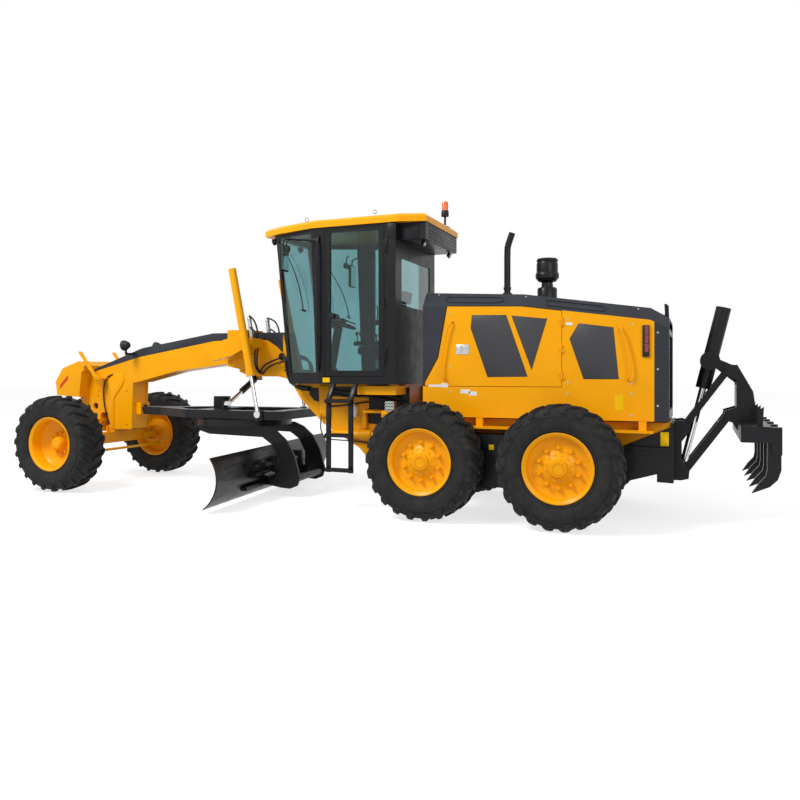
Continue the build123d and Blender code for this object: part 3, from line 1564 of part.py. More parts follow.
def link(start, end, half_width):
    """One arm between two pins, with eyes at both ends."""
    way = Vector(end[0] - start[0], end[1] - start[1])
    normal = Vector(-way.Y, way.X).normalized() * half_width
    outline = [
        (start[0] + normal.X, start[1] + normal.Y),
        (start[0] - normal.X, start[1] - normal.Y),
        (end[0] - normal.X, end[1] - normal.Y),
        (end[0] + normal.X, end[1] + normal.Y),
    ]
    with BuildPart() as part:
        add(side_slab(outline, LINK_Y))
        for x, z in (start, end):
            add(eye(x, z, LINK_Y, LINK_END_R))
        for x, z in (start, end):
            add(eye(x, z, (LINK_Y[0] - 1, LINK_Y[1] + 1), PIN_R + RUN_GAP), mode=Mode.SUBTRACT)
    return part.part


with BuildPart() as ripper_lower_links:
    add(pair(link(LINK_LOWER, lower_rear, 42)))
    tube_x = LINK_LOWER[0] + 0.85 * LINK_REACH[0]
    tube_z = LINK_LOWER[1] + 0.85 * LINK_REACH[1]
    add(eye(tube_x, tube_z, (-LINK_Y[0] - 5, LINK_Y[0] + 5), 36))
write(ripper_lower_links.part, "ripper_lower_links")
write(pair(link(LINK_UPPER, upper_rear, 34)), "ripper_upper_links")

frame_side = [
    (-4560, 1130),
    (-4470, 1160),
    (-4470, 1260),
    (-4590, 1300),
    (-4590, 1600),
    (-4470, 1670),
    (-4480, 1760),
    (-4600, 1760),
    (-4755, 1472),
    (-4800, 1150),
    (-4800, 1000),
    (-4620, 1000),
]
carrier = [
    (RIPPER_TRUNNION[0] + 45, RIPPER_TRUNNION[1] - 20),
    (RIPPER_TRUNNION[0] + 30, RIPPER_TRUNNION[1] + 45),
    (RIPPER_TRUNNION[0] - 30, RIPPER_TRUNNION[1] + 45),
    (-4600, 1740),
    (-4690, 1560),
    (-4690, 1300),
    (-4590, 1300),
    (-4590, 1560),
    (RIPPER_TRUNNION[0] - 20, RIPPER_TRUNNION[1] - 48),
]
TRUNNION_PLATE_Y = (90, 125)
BEAM_BACK_HALF = 950
BEAM_BACK_X = (-4880, -4600)
BEAM_BACK_Z = (985, 1145)
SOCKET_X = (-4968, -4875)
SOCKET_Z = (870, 1140)
SHANK = [
    (-4838, 990),
    (-4962, 990),
    (-4962, 720),
    (-4931, 625),
    (-4860, 552),
    (-4700, 482),
    (-4765, 585),
    (-4826, 656),
    (-4838, 718),
]
TINE = [(-4755, 1130), (-4805, 1130), (-4815, 1330), (-4904, 1443), (-4885, 1380), (-4765, 1300)]
SHANK_Y = (-890, -445, 0, 445, 890)
TINE_Y = (-800, -400, 0, 400, 800)
with BuildPart() as ripper_beam:
    add(pair(side_slab(frame_side, RIPPER_PLATE_Y)))
    add(pair(side_slab(carrier, TRUNNION_PLATE_Y)))
    add(box((-4690, -4590), (-RIPPER_PLATE_Y[1], RIPPER_PLATE_Y[1]), (1300, 1540)))
    add(box(BEAM_BACK_X, (-BEAM_BACK_HALF, BEAM_BACK_HALF), BEAM_BACK_Z))
    add(pair(eye(*RIPPER_TRUNNION, TRUNNION_PLATE_Y, 105)))
    for x, z in (lower_rear, upper_rear):
        add(pair(eye(x, z, (LINK_Y[0] - 5, RIPPER_PLATE_Y[1] + 10), PIN_R)))
    add(
        pair(eye(*RIPPER_TRUNNION, (TRUNNION_PLATE_Y[0] - 1, TRUNNION_PLATE_Y[1] + 1), 30 + RUN_GAP)),
        mode=Mode.SUBTRACT,
    )
    for y in SHANK_Y:
        add(side_slab(SHANK, (y - 28, y + 28)))
        add(box(SOCKET_X, (y - 50, y + 50), SOCKET_Z))
    for y in TINE_Y:
        add(side_slab(TINE, (y - 20, y + 20)))
write(ripper_beam.part, "ripper_beam")

foot_way = Vector(
    RIPPER_FOOT[0] - RIPPER_TRUNNION[0], 0, RIPPER_FOOT[1] - RIPPER_TRUNNION[1]
)
foot_length = foot_way.length
foot_way = foot_way.normalized()


def along_ripper(distance):
    """A point on the ripper cylinder's axis, from its trunnion towards its foot."""
    return (
        RIPPER_TRUNNION[0] + foot_way.X * distance,
        0,
        RIPPER_TRUNNION[1] + foot_way.Z * distance,
    )


RIPPER_BARREL_R = 80
RIPPER_ROD_R = 38
with BuildPart() as ripper_barrel:
    add(bar(along_ripper(-611), along_ripper(315), RIPPER_BARREL_R))
    add(pair(eye(*RIPPER_TRUNNION, (RIPPER_ROD_R + 10, TRUNNION_PLATE_Y[1]), 30)))
    add(
        bar(along_ripper(-560), along_ripper(316), RIPPER_ROD_R + RUN_GAP),
        mode=Mode.SUBTRACT,
    )
write(ripper_barrel.part, "ripper_barrel")

with BuildPart() as ripper_rod:
    add(bar(along_ripper(80), along_ripper(foot_length), RIPPER_ROD_R))
    add(eye(*RIPPER_FOOT, (-RIPPER_EYE_HALF, RIPPER_EYE_HALF), 48))
write(ripper_rod.part, "ripper_rod")
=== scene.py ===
# %% [markdown]
# # Motor grader
# The machine is a road grader: a long arched frame carries a blade between the front
# wheels and the cab, and the engine sits over four driven wheels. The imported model
# gives every piece its place. Each cell below adds one piece or one finish to it.

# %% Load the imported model
import json
import math

import bmesh
import bpy
from mathutils import Matrix, Vector

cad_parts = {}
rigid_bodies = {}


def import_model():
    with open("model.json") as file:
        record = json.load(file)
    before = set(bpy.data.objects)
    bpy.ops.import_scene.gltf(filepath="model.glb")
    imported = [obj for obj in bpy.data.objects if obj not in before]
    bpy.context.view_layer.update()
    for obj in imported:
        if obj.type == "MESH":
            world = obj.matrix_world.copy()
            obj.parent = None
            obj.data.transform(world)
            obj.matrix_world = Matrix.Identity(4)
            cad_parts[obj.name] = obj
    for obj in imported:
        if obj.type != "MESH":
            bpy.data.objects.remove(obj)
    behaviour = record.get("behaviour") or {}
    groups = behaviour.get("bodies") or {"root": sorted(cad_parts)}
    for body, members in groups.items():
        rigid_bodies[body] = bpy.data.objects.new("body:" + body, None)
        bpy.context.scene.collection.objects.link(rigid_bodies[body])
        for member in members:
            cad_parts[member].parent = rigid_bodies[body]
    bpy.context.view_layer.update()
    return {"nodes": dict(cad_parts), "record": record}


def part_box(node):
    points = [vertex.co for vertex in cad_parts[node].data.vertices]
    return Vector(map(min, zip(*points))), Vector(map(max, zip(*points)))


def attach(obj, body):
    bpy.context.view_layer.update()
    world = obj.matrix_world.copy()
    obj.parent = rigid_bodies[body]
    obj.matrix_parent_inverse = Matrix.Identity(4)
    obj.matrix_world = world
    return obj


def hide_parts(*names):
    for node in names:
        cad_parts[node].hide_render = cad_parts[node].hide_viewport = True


for leftover in list(bpy.data.objects):
    bpy.data.objects.remove(leftover, do_unlink=True)
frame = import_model()
nodes = frame["nodes"]

# %% [markdown]
# ## Camera, floor and light
# A long machine looks right from a little below eye height with a lens near normal.
# The floor and the world are pale, and reach the camera, glass and mirrors as white,
# so the paint keeps its own colour and the shadow under the machine stays.

# %% Camera
EYE = Vector((-4.207, 9.028, 1.69))
AIM = Vector((0.3728, -0.9279, 0.0))  # level, so that uprights stay upright
LENS = 33.4
SENSOR = 36.0
SHIFT_Y = -0.0359
FAR = 200

camera_data = bpy.data.cameras.new("camera")
camera_data.lens = LENS
camera_data.sensor_width = SENSOR
camera_data.shift_y = SHIFT_Y
camera_data.clip_end = FAR
camera = bpy.data.objects.new("camera", camera_data)
bpy.context.scene.collection.objects.link(camera)
camera.location = EYE
camera.rotation_euler = AIM.to_track_quat("-Z", "Y").to_euler()
bpy.context.scene.camera = camera
bpy.context.scene.view_settings.view_transform = "Standard"
print("camera at", tuple(EYE), "lens", LENS, "mm")


# %% Colours and nodes
def linear(text):
    """An sRGB hex value as Blender's linear colour."""
    parts = [int(text[i : i + 2], 16) / 255 for i in (1, 3, 5)]
    return (*[p / 12.92 if p <= 0.04045 else ((p + 0.055) / 1.055) ** 2.4 for p in parts], 1.0)


def feed(tree, node, **inputs):
    """Gives inputs their values or links. A key is an input's name, with _ for a space, or
    i and its number."""
    for key, value in inputs.items():
        numbered = key[0] == "i" and key[1:].isdigit()
        socket = node.inputs[int(key[1:]) if numbered else key.replace("_", " ")]
        if isinstance(value, bpy.types.NodeSocket):
            tree.links.new(value, socket)
        else:
            socket.default_value = value
    return node


def add_node(tree, kind, settings=(), **inputs):
    """One shader node, with its settings, its input values and its links."""
    node = tree.nodes.new("ShaderNode" + kind)
    for key, value in dict(settings).items():
        setattr(node, key, value)
    return feed(tree, node, **inputs)


def new_material(name, **inputs):
    """A material, its node tree and its shader with the values given."""
    material = bpy.data.materials.new(name)
    material.use_nodes = True
    tree = material.node_tree
    print("material:", name)
    return material, tree, feed(tree, tree.nodes["Principled BSDF"], **inputs)


# %% Floor, backdrop and lights
def shown(tree):
    """1 for rays from the camera, or off or through a surface; 0 for rays that carry light."""
    path = add_node(tree, "LightPath")
    seen = path.outputs["Is Camera Ray"]
    for kind in ("Is Glossy Ray", "Is Transmission Ray"):
        other = path.outputs[kind]
        seen = add_node(tree, "Math", {"operation": "MAXIMUM"}, i0=seen, i1=other).outputs[0]
    return seen


def backdrop_material(name, colour, glow):
    """A matt floor that shows as white under the machine's soft shadow."""
    material, tree, shader = new_material(
        name, Base_Color=linear(colour), Roughness=0.9, Specular_IOR_Level=0.0,
        Emission_Color=(1, 1, 1, 1),
    )
    lift = add_node(tree, "MapRange", i0=shown(tree), i3=0, i4=glow)
    feed(tree, shader, Emission_Strength=lift.outputs[0])
    return material


FLOOR_SIZE = 120
bpy.ops.mesh.primitive_plane_add(size=FLOOR_SIZE, location=(0, 0, 0))
floor = bpy.context.active_object
floor.name = "floor"
floor.data.materials.append(backdrop_material("white floor", "#BEBEBE", 0.72))

world = bpy.data.worlds.new("world")
bpy.context.scene.world = world
world.use_nodes = True
sky = world.node_tree.nodes["Background"]
SKY_LIGHT, SKY_SEEN = 0.5, 1.0
tree = world.node_tree
strength = add_node(tree, "MapRange", i0=shown(tree), i3=SKY_LIGHT, i4=SKY_SEEN)
feed(tree, sky, Color=(1, 1, 1, 1), Strength=strength.outputs[0])


def area_light(name, place, target, size, power):
    data = bpy.data.lights.new(name, "AREA")
    data.size = size
    data.energy = power
    light = bpy.data.objects.new(name, data)
    bpy.context.scene.collection.objects.link(light)
    light.location = place
    light.rotation_euler = (Vector(target) - Vector(place)).to_track_quat("-Z", "Y").to_euler()
    print("light:", name, power, "W")


area_light("key", (5, 8, 11), (0, 0, 1), 4, 1350)
area_light("fill", (-11, 9, 6), (-1, 0, 1), 6, 420)

# %% [markdown]
# ## Finishes
# The machine is sprayed steel, moulded rubber and plastic, glass and bare metal. Each
# material starts from what that surface is and how it was made, with typical gloss, and
# a pattern whose scale comes from a real size.

# %% What a pattern does to a surface
def varied(tree, shader, colours=None, gloss=None, relief=None):
    """Colours are (share, hex, hex), gloss is (pattern, low, high), and relief is (height,
    metres, strength)."""
    if colours:
        share, first, second = colours
        mix = add_node(
            tree, "Mix", {"data_type": "RGBA"}, i0=share, i6=linear(first), i7=linear(second)
        )
        feed(tree, shader, Base_Color=mix.outputs[2])
    if gloss:
        pattern, low, high = gloss
        level = add_node(tree, "MapRange", i0=pattern, i1=0.3, i2=0.7, i3=low, i4=high)
        feed(tree, shader, Roughness=level.outputs[0])
    if relief:
        height, metres, strength = relief
        bump = add_node(tree, "Bump", Height=height, Distance=metres, Strength=strength)
        feed(tree, shader, Normal=bump.outputs[0])


# %% Paints
def painted(name, colour, darker, roughness, coat=0.0):
    """Sprayed two-pack enamel: even colour, slight orange peel, a little uneven gloss."""
    material, tree, shader = new_material(
        name, Specular_IOR_Level=0.16, Coat_Weight=coat, Coat_Roughness=0.12
    )
    place = add_node(tree, "TexCoord").outputs["Object"]
    shade = add_node(tree, "TexNoise", Vector=place, Scale=2.2, Detail=4, Roughness=0.55)
    share = add_node(tree, "MapRange", i0=shade.outputs["Fac"], i1=0.3, i2=0.7)
    haze = add_node(tree, "TexNoise", Vector=place, Scale=9, Detail=3, Roughness=0.55)
    # Orange peel is about 3 mm across and 20 micrometres high, drawn at 12 mm to show
    peel = add_node(tree, "TexNoise", Vector=place, Scale=80, Detail=2, Roughness=0.55)
    varied(
        tree, shader, (share.outputs[0], colour, darker),
        (haze.outputs["Fac"], roughness - 0.06, roughness + 0.08),
        (peel.outputs["Fac"], 0.0006, 0.35),
    )
    return material


yellow = painted("yellow enamel", "#F7AA00", "#F0A200", 0.34, 0.06)
charcoal = painted("charcoal enamel", "#33363D", "#2C2E34", 0.40, 0.08)
black = painted("black enamel", "#17181B", "#111214", 0.38, 0.1)
label_white = painted("white label film", "#E6E6E2", "#DCDCD8", 0.35)
label_yellow = painted("yellow label film", "#F6C500", "#EEBB00", 0.35)
tape_red = painted("red reflecting tape", "#D23A18", "#C2300F", 0.3, 0.4)
cast = painted("cast iron", "#4A4B4C", "#3A3B3D", 0.6)


# %% Rubber and plastic
def rubber_material():
    """Carbon-filled rubber, moulded: dull, nearly black, with dust in the hollows."""
    material, tree, shader = new_material("moulded tyre rubber", Specular_IOR_Level=0.25)
    place = add_node(tree, "TexCoord").outputs["Object"]
    hollows = add_node(tree, "TexNoise", Vector=place, Scale=6, Detail=6, Roughness=0.55)
    dust = add_node(tree, "MapRange", i0=hollows.outputs["Fac"], i1=0.42, i2=0.72)
    rubbed = add_node(tree, "TexNoise", Vector=place, Scale=14, Detail=3, Roughness=0.55)
    # The mould's grain is under a millimetre, drawn at 6 mm to show
    grain = add_node(tree, "TexNoise", Vector=place, Scale=160, Detail=4, Roughness=0.55)
    varied(
        tree, shader, (dust.outputs[0], "#1B1B1C", "#292826"),
        (rubbed.outputs["Fac"], 0.62, 0.85), (grain.outputs["Fac"], 0.001, 0.5),
    )
    return material


def moulded_plastic(name, colour, roughness):
    """ABS or polypropylene from a textured mould: an even colour with a fine grain."""
    material, tree, shader = new_material(name, Specular_IOR_Level=0.3)
    place = add_node(tree, "TexCoord").outputs["Object"]
    # The grain is about 1 mm, drawn at 5 mm to show
    grain = add_node(tree, "TexNoise", Vector=place, Scale=220, Detail=2, Roughness=0.55)
    share = add_node(tree, "MapRange", i0=grain.outputs["Fac"], i1=0.3, i2=0.7)
    varied(
        tree, shader, (share.outputs[0], colour, "#0D0E10"),
        (grain.outputs["Fac"], roughness - 0.08, roughness + 0.08),
        (grain.outputs["Fac"], 0.0005, 0.4),
    )
    return material


rubber = rubber_material()
plastic = moulded_plastic("grained black plastic", "#141517", 0.55)
hose_rubber = moulded_plastic("hose rubber", "#18191A", 0.45)


# %% Bare metals and glass
def metal(name, colour, roughness, scratch):
    """Bare metal: colour from the metal itself, with fine scratches."""
    material, tree, shader = new_material(name, Base_Color=linear(colour), Metallic=1.0)
    place = add_node(tree, "TexCoord").outputs["Object"]
    # Scratches are a fraction of a millimetre apart, drawn at 17 mm to show
    lines = add_node(tree, "TexNoise", Vector=place, Scale=60, Detail=5, Roughness=0.5)
    fac = lines.outputs["Fac"]
    varied(
        tree, shader, None, (fac, roughness - scratch, roughness + scratch), (fac, 0.0004, 0.2)
    )
    return material


def worn_steel():
    """Carbon steel plate under thin black paint, rubbed by soil along its length."""
    material, tree, shader = new_material("painted blade steel", Specular_IOR_Level=0.3)
    place = add_node(tree, "TexCoord").outputs["Object"]
    along = add_node(tree, "Mapping", Vector=place, Scale=(6, 1, 14)).outputs[0]
    # Streaks a quarter of a metre long, 20 to 40 mm apart
    streaks = add_node(tree, "TexNoise", Vector=along, Scale=4, Detail=6, Roughness=0.5)
    rubbed = add_node(tree, "MapRange", i0=streaks.outputs["Fac"], i1=0.45, i2=0.75)
    varied(
        tree, shader, (rubbed.outputs[0], "#0C0D10", "#16171B"),
        (streaks.outputs["Fac"], 0.22, 0.42), (streaks.outputs["Fac"], 0.0006, 0.3),
    )
    return material


def glazing(name, colour, deeper):
    """Tinted safety glass 6 to 10 mm thick: clear, green-blue, with a sharp reflection."""
    material, tree, shader = new_material(name, Roughness=0.0, IOR=1.45, Transmission_Weight=1.0)
    place = add_node(tree, "TexCoord").outputs["Object"]
    tint = add_node(tree, "TexNoise", Vector=place, Scale=1.2, Detail=2, Roughness=0.55)
    share = add_node(tree, "MapRange", i0=tint.outputs["Fac"], i1=0.3, i2=0.7)
    varied(tree, shader, (share.outputs[0], colour, deeper))
    return material


chrome = metal("hard chrome", "#D6D8DA", 0.12, 0.04)
zinc = metal("zinc-plated steel", "#B9BBB8", 0.32, 0.08)
mirror_glass = metal("silvered glass", "#DDE2E4", 0.05, 0.02)
blade_steel = worn_steel()
tinted = glazing("tinted safety glass", "#A6C9CB", "#93BABD")


# %% Lenses, perforated sheet and cloth
def lens(name, colour):
    """Acrylic lens with prisms moulded on its inner face, drawn 38 mm apart to show."""
    material, tree, shader = new_material(
        name, Base_Color=linear(colour), Roughness=0.12, Coat_Weight=0.6
    )
    place = add_node(tree, "TexCoord").outputs["Object"]
    prisms = add_node(tree, "TexWave", {"bands_direction": "Z"}, Vector=place, Scale=26)
    varied(tree, shader, relief=(prisms.outputs["Fac"], 0.001, 0.6))
    return material


def perforated(name):
    """Steel sheet with 6 mm holes on a 9 mm pitch, painted black, drawn at 14 mm to show."""
    material, tree, shader = new_material(name, Roughness=0.42)
    place = add_node(tree, "TexCoord").outputs["Object"]
    holes = add_node(
        tree, "TexVoronoi", {"feature": "F1"}, Vector=place, Scale=71, Randomness=0
    )
    rim = add_node(tree, "MapRange", i0=holes.outputs["Distance"], i1=0.28, i2=0.36).outputs[0]
    varied(tree, shader, (rim, "#101113", "#2B2C30"), None, (rim, 0.0015, 0.5))
    return material


def woven():
    """Seat cloth: polyester weave, threads about 1 mm apart, drawn coarser to show."""
    material, tree, shader = new_material("woven seat cloth", Roughness=0.9, Sheen_Weight=0.3)
    place = add_node(tree, "TexCoord").outputs["Object"]
    across, along = [
        add_node(
            tree, "TexWave", {"bands_direction": way}, Vector=place, Scale=32, Distortion=0.6
        ).outputs["Fac"]
        for way in ("Y", "X")
    ]
    threads = add_node(tree, "Math", {"operation": "MULTIPLY"}, i0=across, i1=along).outputs[0]
    varied(tree, shader, (threads, "#232528", "#3A3D42"), None, (threads, 0.001, 0.5))
    return material


red_lens = lens("red acrylic lens", "#8E1014")
amber_lens = lens("amber acrylic lens", "#F06A10")
clear_lens = lens("clear lamp glass", "#C9CED0")
mesh_sheet = perforated("perforated black sheet")
seat_cloth = woven()

# %% [markdown]
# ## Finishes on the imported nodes
# The record says which slot each node has. One table gives each slot its materials: the
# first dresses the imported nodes, and all of them name the slot of the pieces made below.

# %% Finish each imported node
SLOTS = {
    "yellow_paint": (yellow, label_yellow),
    "dark_paint": (charcoal, mesh_sheet, label_white),
    "black_paint": (black,),
    "tyre_rubber": (rubber,),
    "cast_grey": (cast,),
    "chrome_rod": (chrome, zinc, mirror_glass),
    "tinted_glass": (tinted, clear_lens),
    "red_lens": (red_lens, amber_lens, tape_red),
    "black_plastic": (plastic, hose_rubber, seat_cloth),
    "worn_steel": (blade_steel,),
}
SPRAYED = ("tie_rod", "tie_rod_end")  # these have the axle's yellow
RECORD = frame["record"]["subparts"]
for part in RECORD:
    name = part["node"]
    for material_slot in nodes[name].material_slots:
        material_slot.material = yellow if name in SPRAYED else SLOTS[part["material_slot"]][0]
print("finished", len(RECORD), "nodes")

# %% [markdown]
# ## Hands for modelling
# Every new piece starts as one of Blender's primitives, is shaped in edit mode, and ends
# with its place in its mesh. These few helpers do what a hand does again and again.


# %% Start and shape a piece
def deselect():
    for thing in bpy.context.selected_objects:
        thing.select_set(False)


def made(primitive, **settings):
    """A new primitive, selected on its own."""
    deselect()
    primitive(**settings)
    return bpy.context.active_object


def edit(*steps):
    """Runs steps in edit mode, with everything selected first."""
    bpy.ops.object.mode_set(mode="EDIT")
    bpy.ops.mesh.select_all(action="SELECT")
    for step in steps:
        step()
    bpy.ops.object.mode_set(mode="OBJECT")


def tidy_mesh():
    bpy.ops.mesh.remove_doubles(threshold=0.00005)
    bpy.ops.mesh.normals_make_consistent(inside=False)


def set_points(obj, points):
    for vertex, point in zip(obj.data.vertices, points):
        vertex.co = Vector(point)


def rounded(obj, width, segments=2, angle=35):
    """Bevels an object's hard edges for good."""
    modifier = obj.modifiers.new("edges", "BEVEL")
    modifier.width = width
    modifier.segments = segments
    modifier.limit_method = "ANGLE"
    modifier.angle_limit = math.radians(angle)
    bpy.context.view_layer.objects.active = obj
    bpy.ops.object.modifier_apply(modifier=modifier.name)
    return obj


# %% Flat outlines made solid
def slab(outline, spot, depth, bevel=0.0):
    """A flat outline made solid. `spot` turns its two numbers into a place, and `depth` is
    the way it is extruded."""
    obj = made(bpy.ops.mesh.primitive_circle_add, vertices=len(outline), fill_type="NGON")
    set_points(obj, [spot(*point) for point in outline])
    edit(lambda: bpy.ops.mesh.extrude_region_move(TRANSFORM_OT_translate={"value": depth}))
    edit(tidy_mesh)
    return rounded(obj, bevel) if bevel else obj


def side_slab(outline, y, depth, bevel=0.0):
    """An (x, z) outline at y, made solid along Y."""
    return slab(outline, lambda a, b: (a, y, b), (0, depth, 0), bevel)


def block(low, high, bevel=0.004):
    """A block between two corners, with its edges broken."""
    outline = [(low[0], low[2]), (high[0], low[2]), (high[0], high[2]), (low[0], high[2])]
    return side_slab(outline, low[1], high[1] - low[1], bevel)


# %% Round bars, turned shapes and tubes
def rod(start, end, radius, sides=24, bevel=0.002):
    """A round bar between two points."""
    start, end = Vector(start), Vector(end)
    way = end - start
    obj = made(
        bpy.ops.mesh.primitive_cylinder_add, vertices=sides, radius=radius, depth=way.length,
        location=(start + end) / 2, rotation=way.to_track_quat("Z", "Y").to_euler(),
    )
    bpy.ops.object.transform_apply(location=True, rotation=True, scale=True)
    return rounded(obj, bevel) if bevel else obj


def turned(profile, centre, axis, steps=64):
    """A closed (radius, along) section spun round an axis through `centre`."""
    axis = Vector(axis).normalized()
    across = Vector((0, 0, 1)) if abs(axis.z) < 0.9 else Vector((1, 0, 0))
    centre = Vector(centre)
    obj = made(bpy.ops.mesh.primitive_circle_add, vertices=len(profile), fill_type="NOTHING")
    set_points(obj, [centre + across * r + axis * s for r, s in profile])
    edit(
        lambda: bpy.ops.mesh.spin(steps=steps, angle=math.tau, center=centre, axis=axis),
        lambda: bpy.ops.mesh.select_all(action="SELECT"),
        tidy_mesh,
    )
    return obj


def torus(radius, thick, centre, axis, steps):
    """A round bar of radius `thick` bent to a ring."""
    turns = [math.tau * i / 10 for i in range(10)]
    section = [(radius + thick * math.cos(a), thick * math.sin(a)) for a in turns]
    return turned(section, centre, axis, steps)


def tube(points, radius, sides=3):
    """A bent round bar along a smooth line through the points, made a mesh."""
    curve = made(bpy.ops.curve.primitive_nurbs_path_add).data
    curve.splines.clear()
    spline = curve.splines.new("NURBS")
    spline.points.add(len(points) - 1)
    for point, place in zip(spline.points, points):
        point.co = (*place, 1)
    spline.order_u = 3
    spline.use_endpoint_u = True
    curve.bevel_depth = radius
    curve.bevel_resolution = sides
    curve.resolution_u = 6
    curve.use_fill_caps = True
    bpy.ops.object.convert(target="MESH")
    return bpy.context.active_object


# %% Join, copy and mirror
def joined(parts):
    deselect()
    for part in parts:
        part.select_set(True)
    bpy.context.view_layer.objects.active = parts[0]
    bpy.ops.object.join()
    return bpy.context.active_object


def copied(obj, matrix):
    """A copy with its own mesh, moved by a matrix; a mirroring one keeps its faces outwards."""
    twin = obj.copy()
    twin.data = obj.data.copy()
    bpy.context.scene.collection.objects.link(twin)
    twin.data.transform(matrix)
    if matrix.determinant() < 0:
        twin.data.flip_normals()
    return twin


ACROSS = Matrix.Scale(-1, 4, (0, 1, 0))  # from the left side to the right
LEFT, UP = (0, 1, 0), (0, 0, 1)


def both_sides(parts):
    """The parts and their mirror images on the machine's other side."""
    return [*parts, *[copied(part, ACROSS) for part in parts]]


# %% Name a piece and let it ride
def finished(parts, name, body, material, smooth=35, stands_for=()):
    """Joins the parts into one named piece that rides on a body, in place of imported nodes."""
    obj = joined(parts) if isinstance(parts, list) else parts
    deselect()
    obj.select_set(True)
    bpy.context.view_layer.objects.active = obj
    bpy.ops.object.transform_apply(location=True, rotation=True, scale=True)
    bpy.ops.object.shade_smooth_by_angle(angle=math.radians(smooth))
    obj.name = name
    obj.data.name = name
    obj.data.materials.clear()
    obj.data.materials.append(material)
    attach(obj, body)
    if stands_for:
        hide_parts(*stands_for)
    print(name, "on", body, len(obj.data.polygons), "faces")
    return obj


def paired(parts, name, body, material, smooth=35, stands_for=()):
    """Parts made for the left side and their mirror images, as one piece."""
    return finished(both_sides(parts), name, body, material, smooth, stands_for)


def door_pair(parts, name, door, material, smooth=35):
    """A piece on the left door, and its mirror image on the right one."""
    left = finished(parts, f"{name}_left", f"{door}_left", material, smooth)
    right = copied(left, ACROSS)
    for key in list(right.keys()):
        if key.startswith("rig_"):
            del right[key]
    right.parent = None
    finished(right, f"{name}_right", f"{door}_right", material)


# %% Bolts
def bolt_head():
    """One hexagon head on its washer, along +Z, that all bolts copy."""
    head = rod((0, 0, 0.1), (0, 0, 1.0), 1.0, 6, 0)
    return joined([rounded(head, 0.12, 1), rod((0, 0, 0), (0, 0, 0.2), 1.35, 16, 0)])


BOLT = bolt_head()
print("bolt head", len(BOLT.data.polygons), "faces")
FRONT, REAR = "front_frame", "rear_frame"  # the two frames that most pieces ride on


def bolts(places, way, size):
    """Bolt heads at the places, facing one way; `size` is half a head's width."""
    turn = Vector(way).to_track_quat("Z", "Y").to_matrix().to_4x4()
    return [
        copied(BOLT, Matrix.Translation(place) @ turn @ Matrix.Scale(size, 4)) for place in places
    ]


# %% [markdown]
# ## Tyres
# A grader's traction tyre has thick bars that start at the middle of the tread, sweep
# back, and run over the shoulder. The carcass is one section spun round the hub, and one
# bar is bent over it and copied all round, on both halves, half a pitch apart.

# %% Tyre sizes
tyre_low, tyre_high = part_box("tyre_front_left")
TYRE_R = (tyre_high.z - tyre_low.z) / 2
TYRE_HALF = (tyre_high.y - tyre_low.y) / 2
print("tyre radius", round(TYRE_R, 3), "width", round(2 * TYRE_HALF, 3))
BEAD_R = 0.358
BAR_HEIGHT = 0.03
BAR_ROOT = 0.006  # how far a bar's foot lies inside the carcass
TREAD_R = TYRE_R - BAR_HEIGHT
BARS = 22  # on each half
ROUND = 4 * BARS  # faces round the carcass
SIDE_RINGS = [(0.405, 0.895), (0.548, 0.985)]  # radius, share of the half width
RING_SECTION = [(-1, -1), (-0.5, 1), (0.5, 1), (1, -1)]
CARCASS = [  # radius, share of the half width
    (BEAD_R, 0.78), (0.385, 0.8), (0.398, 0.86), (0.425, 0.93), (0.47, 0.985), (0.52, 0.995),
    (0.56, 0.97), (0.592, 0.935), (0.618, 0.86), (TREAD_R - 0.01, 0.7),
    (TREAD_R - 0.002, 0.4), (TREAD_R, 0.0),
]
HUB = Vector((0, 0, 0))


# %% One bar of the tread
def carcass_at(share):
    """Radius and half width along the bar, 0 at the middle of the tread, 1 low on the shoulder."""
    walk = [*reversed(CARCASS[-4:]), (0.592, 0.93), (0.572, 0.955)]
    step = share * (len(walk) - 1)
    i = min(int(step), len(walk) - 2)
    part = step - i
    return tuple(walk[i][k] + (walk[i + 1][k] - walk[i][k]) * part for k in (0, 1))


LOWER_FROM, LOWER_BY = 0.55, 0.75  # where along it a bar gets lower, and how fast
LEAN_FROM, LEAN = 0.4, 1.15  # where a bar starts to face sideways, and how far in radians
SWEEP, SWEEP_TO = 0.185, 0.62  # how far back a bar sweeps in radians, and where that ends
BAR_HALF, BAR_FLARE = 0.026, 0.012  # half width at the middle, and what the shoulder adds
BAR_TOP = 0.84  # a bar's width at its top, as a share of its foot


def bar_point(share, side, height):
    """A point of one bar: along it, across it, and above the carcass."""
    radius, width = carcass_at(share)
    lower = 1 - max(0.0, share - LOWER_FROM) * LOWER_BY
    rise = BAR_HEIGHT * lower * height - BAR_ROOT * (1 - height)
    lean = LEAN * max(0.0, (share - LEAN_FROM) / (1 - LEAN_FROM)) ** 1.3
    radius += rise * math.cos(lean)
    along = min((width + 0.02) * TYRE_HALF + rise * math.sin(lean) * 0.55, TYRE_HALF)
    sweep = SWEEP * min(share / SWEEP_TO, 1.0) ** 0.9
    half = (BAR_HALF + BAR_FLARE * share) / radius * (1.0 if height < 0.5 else BAR_TOP)
    angle = sweep + side * half * 2
    return Vector((math.sin(angle) * radius, along, math.cos(angle) * radius))


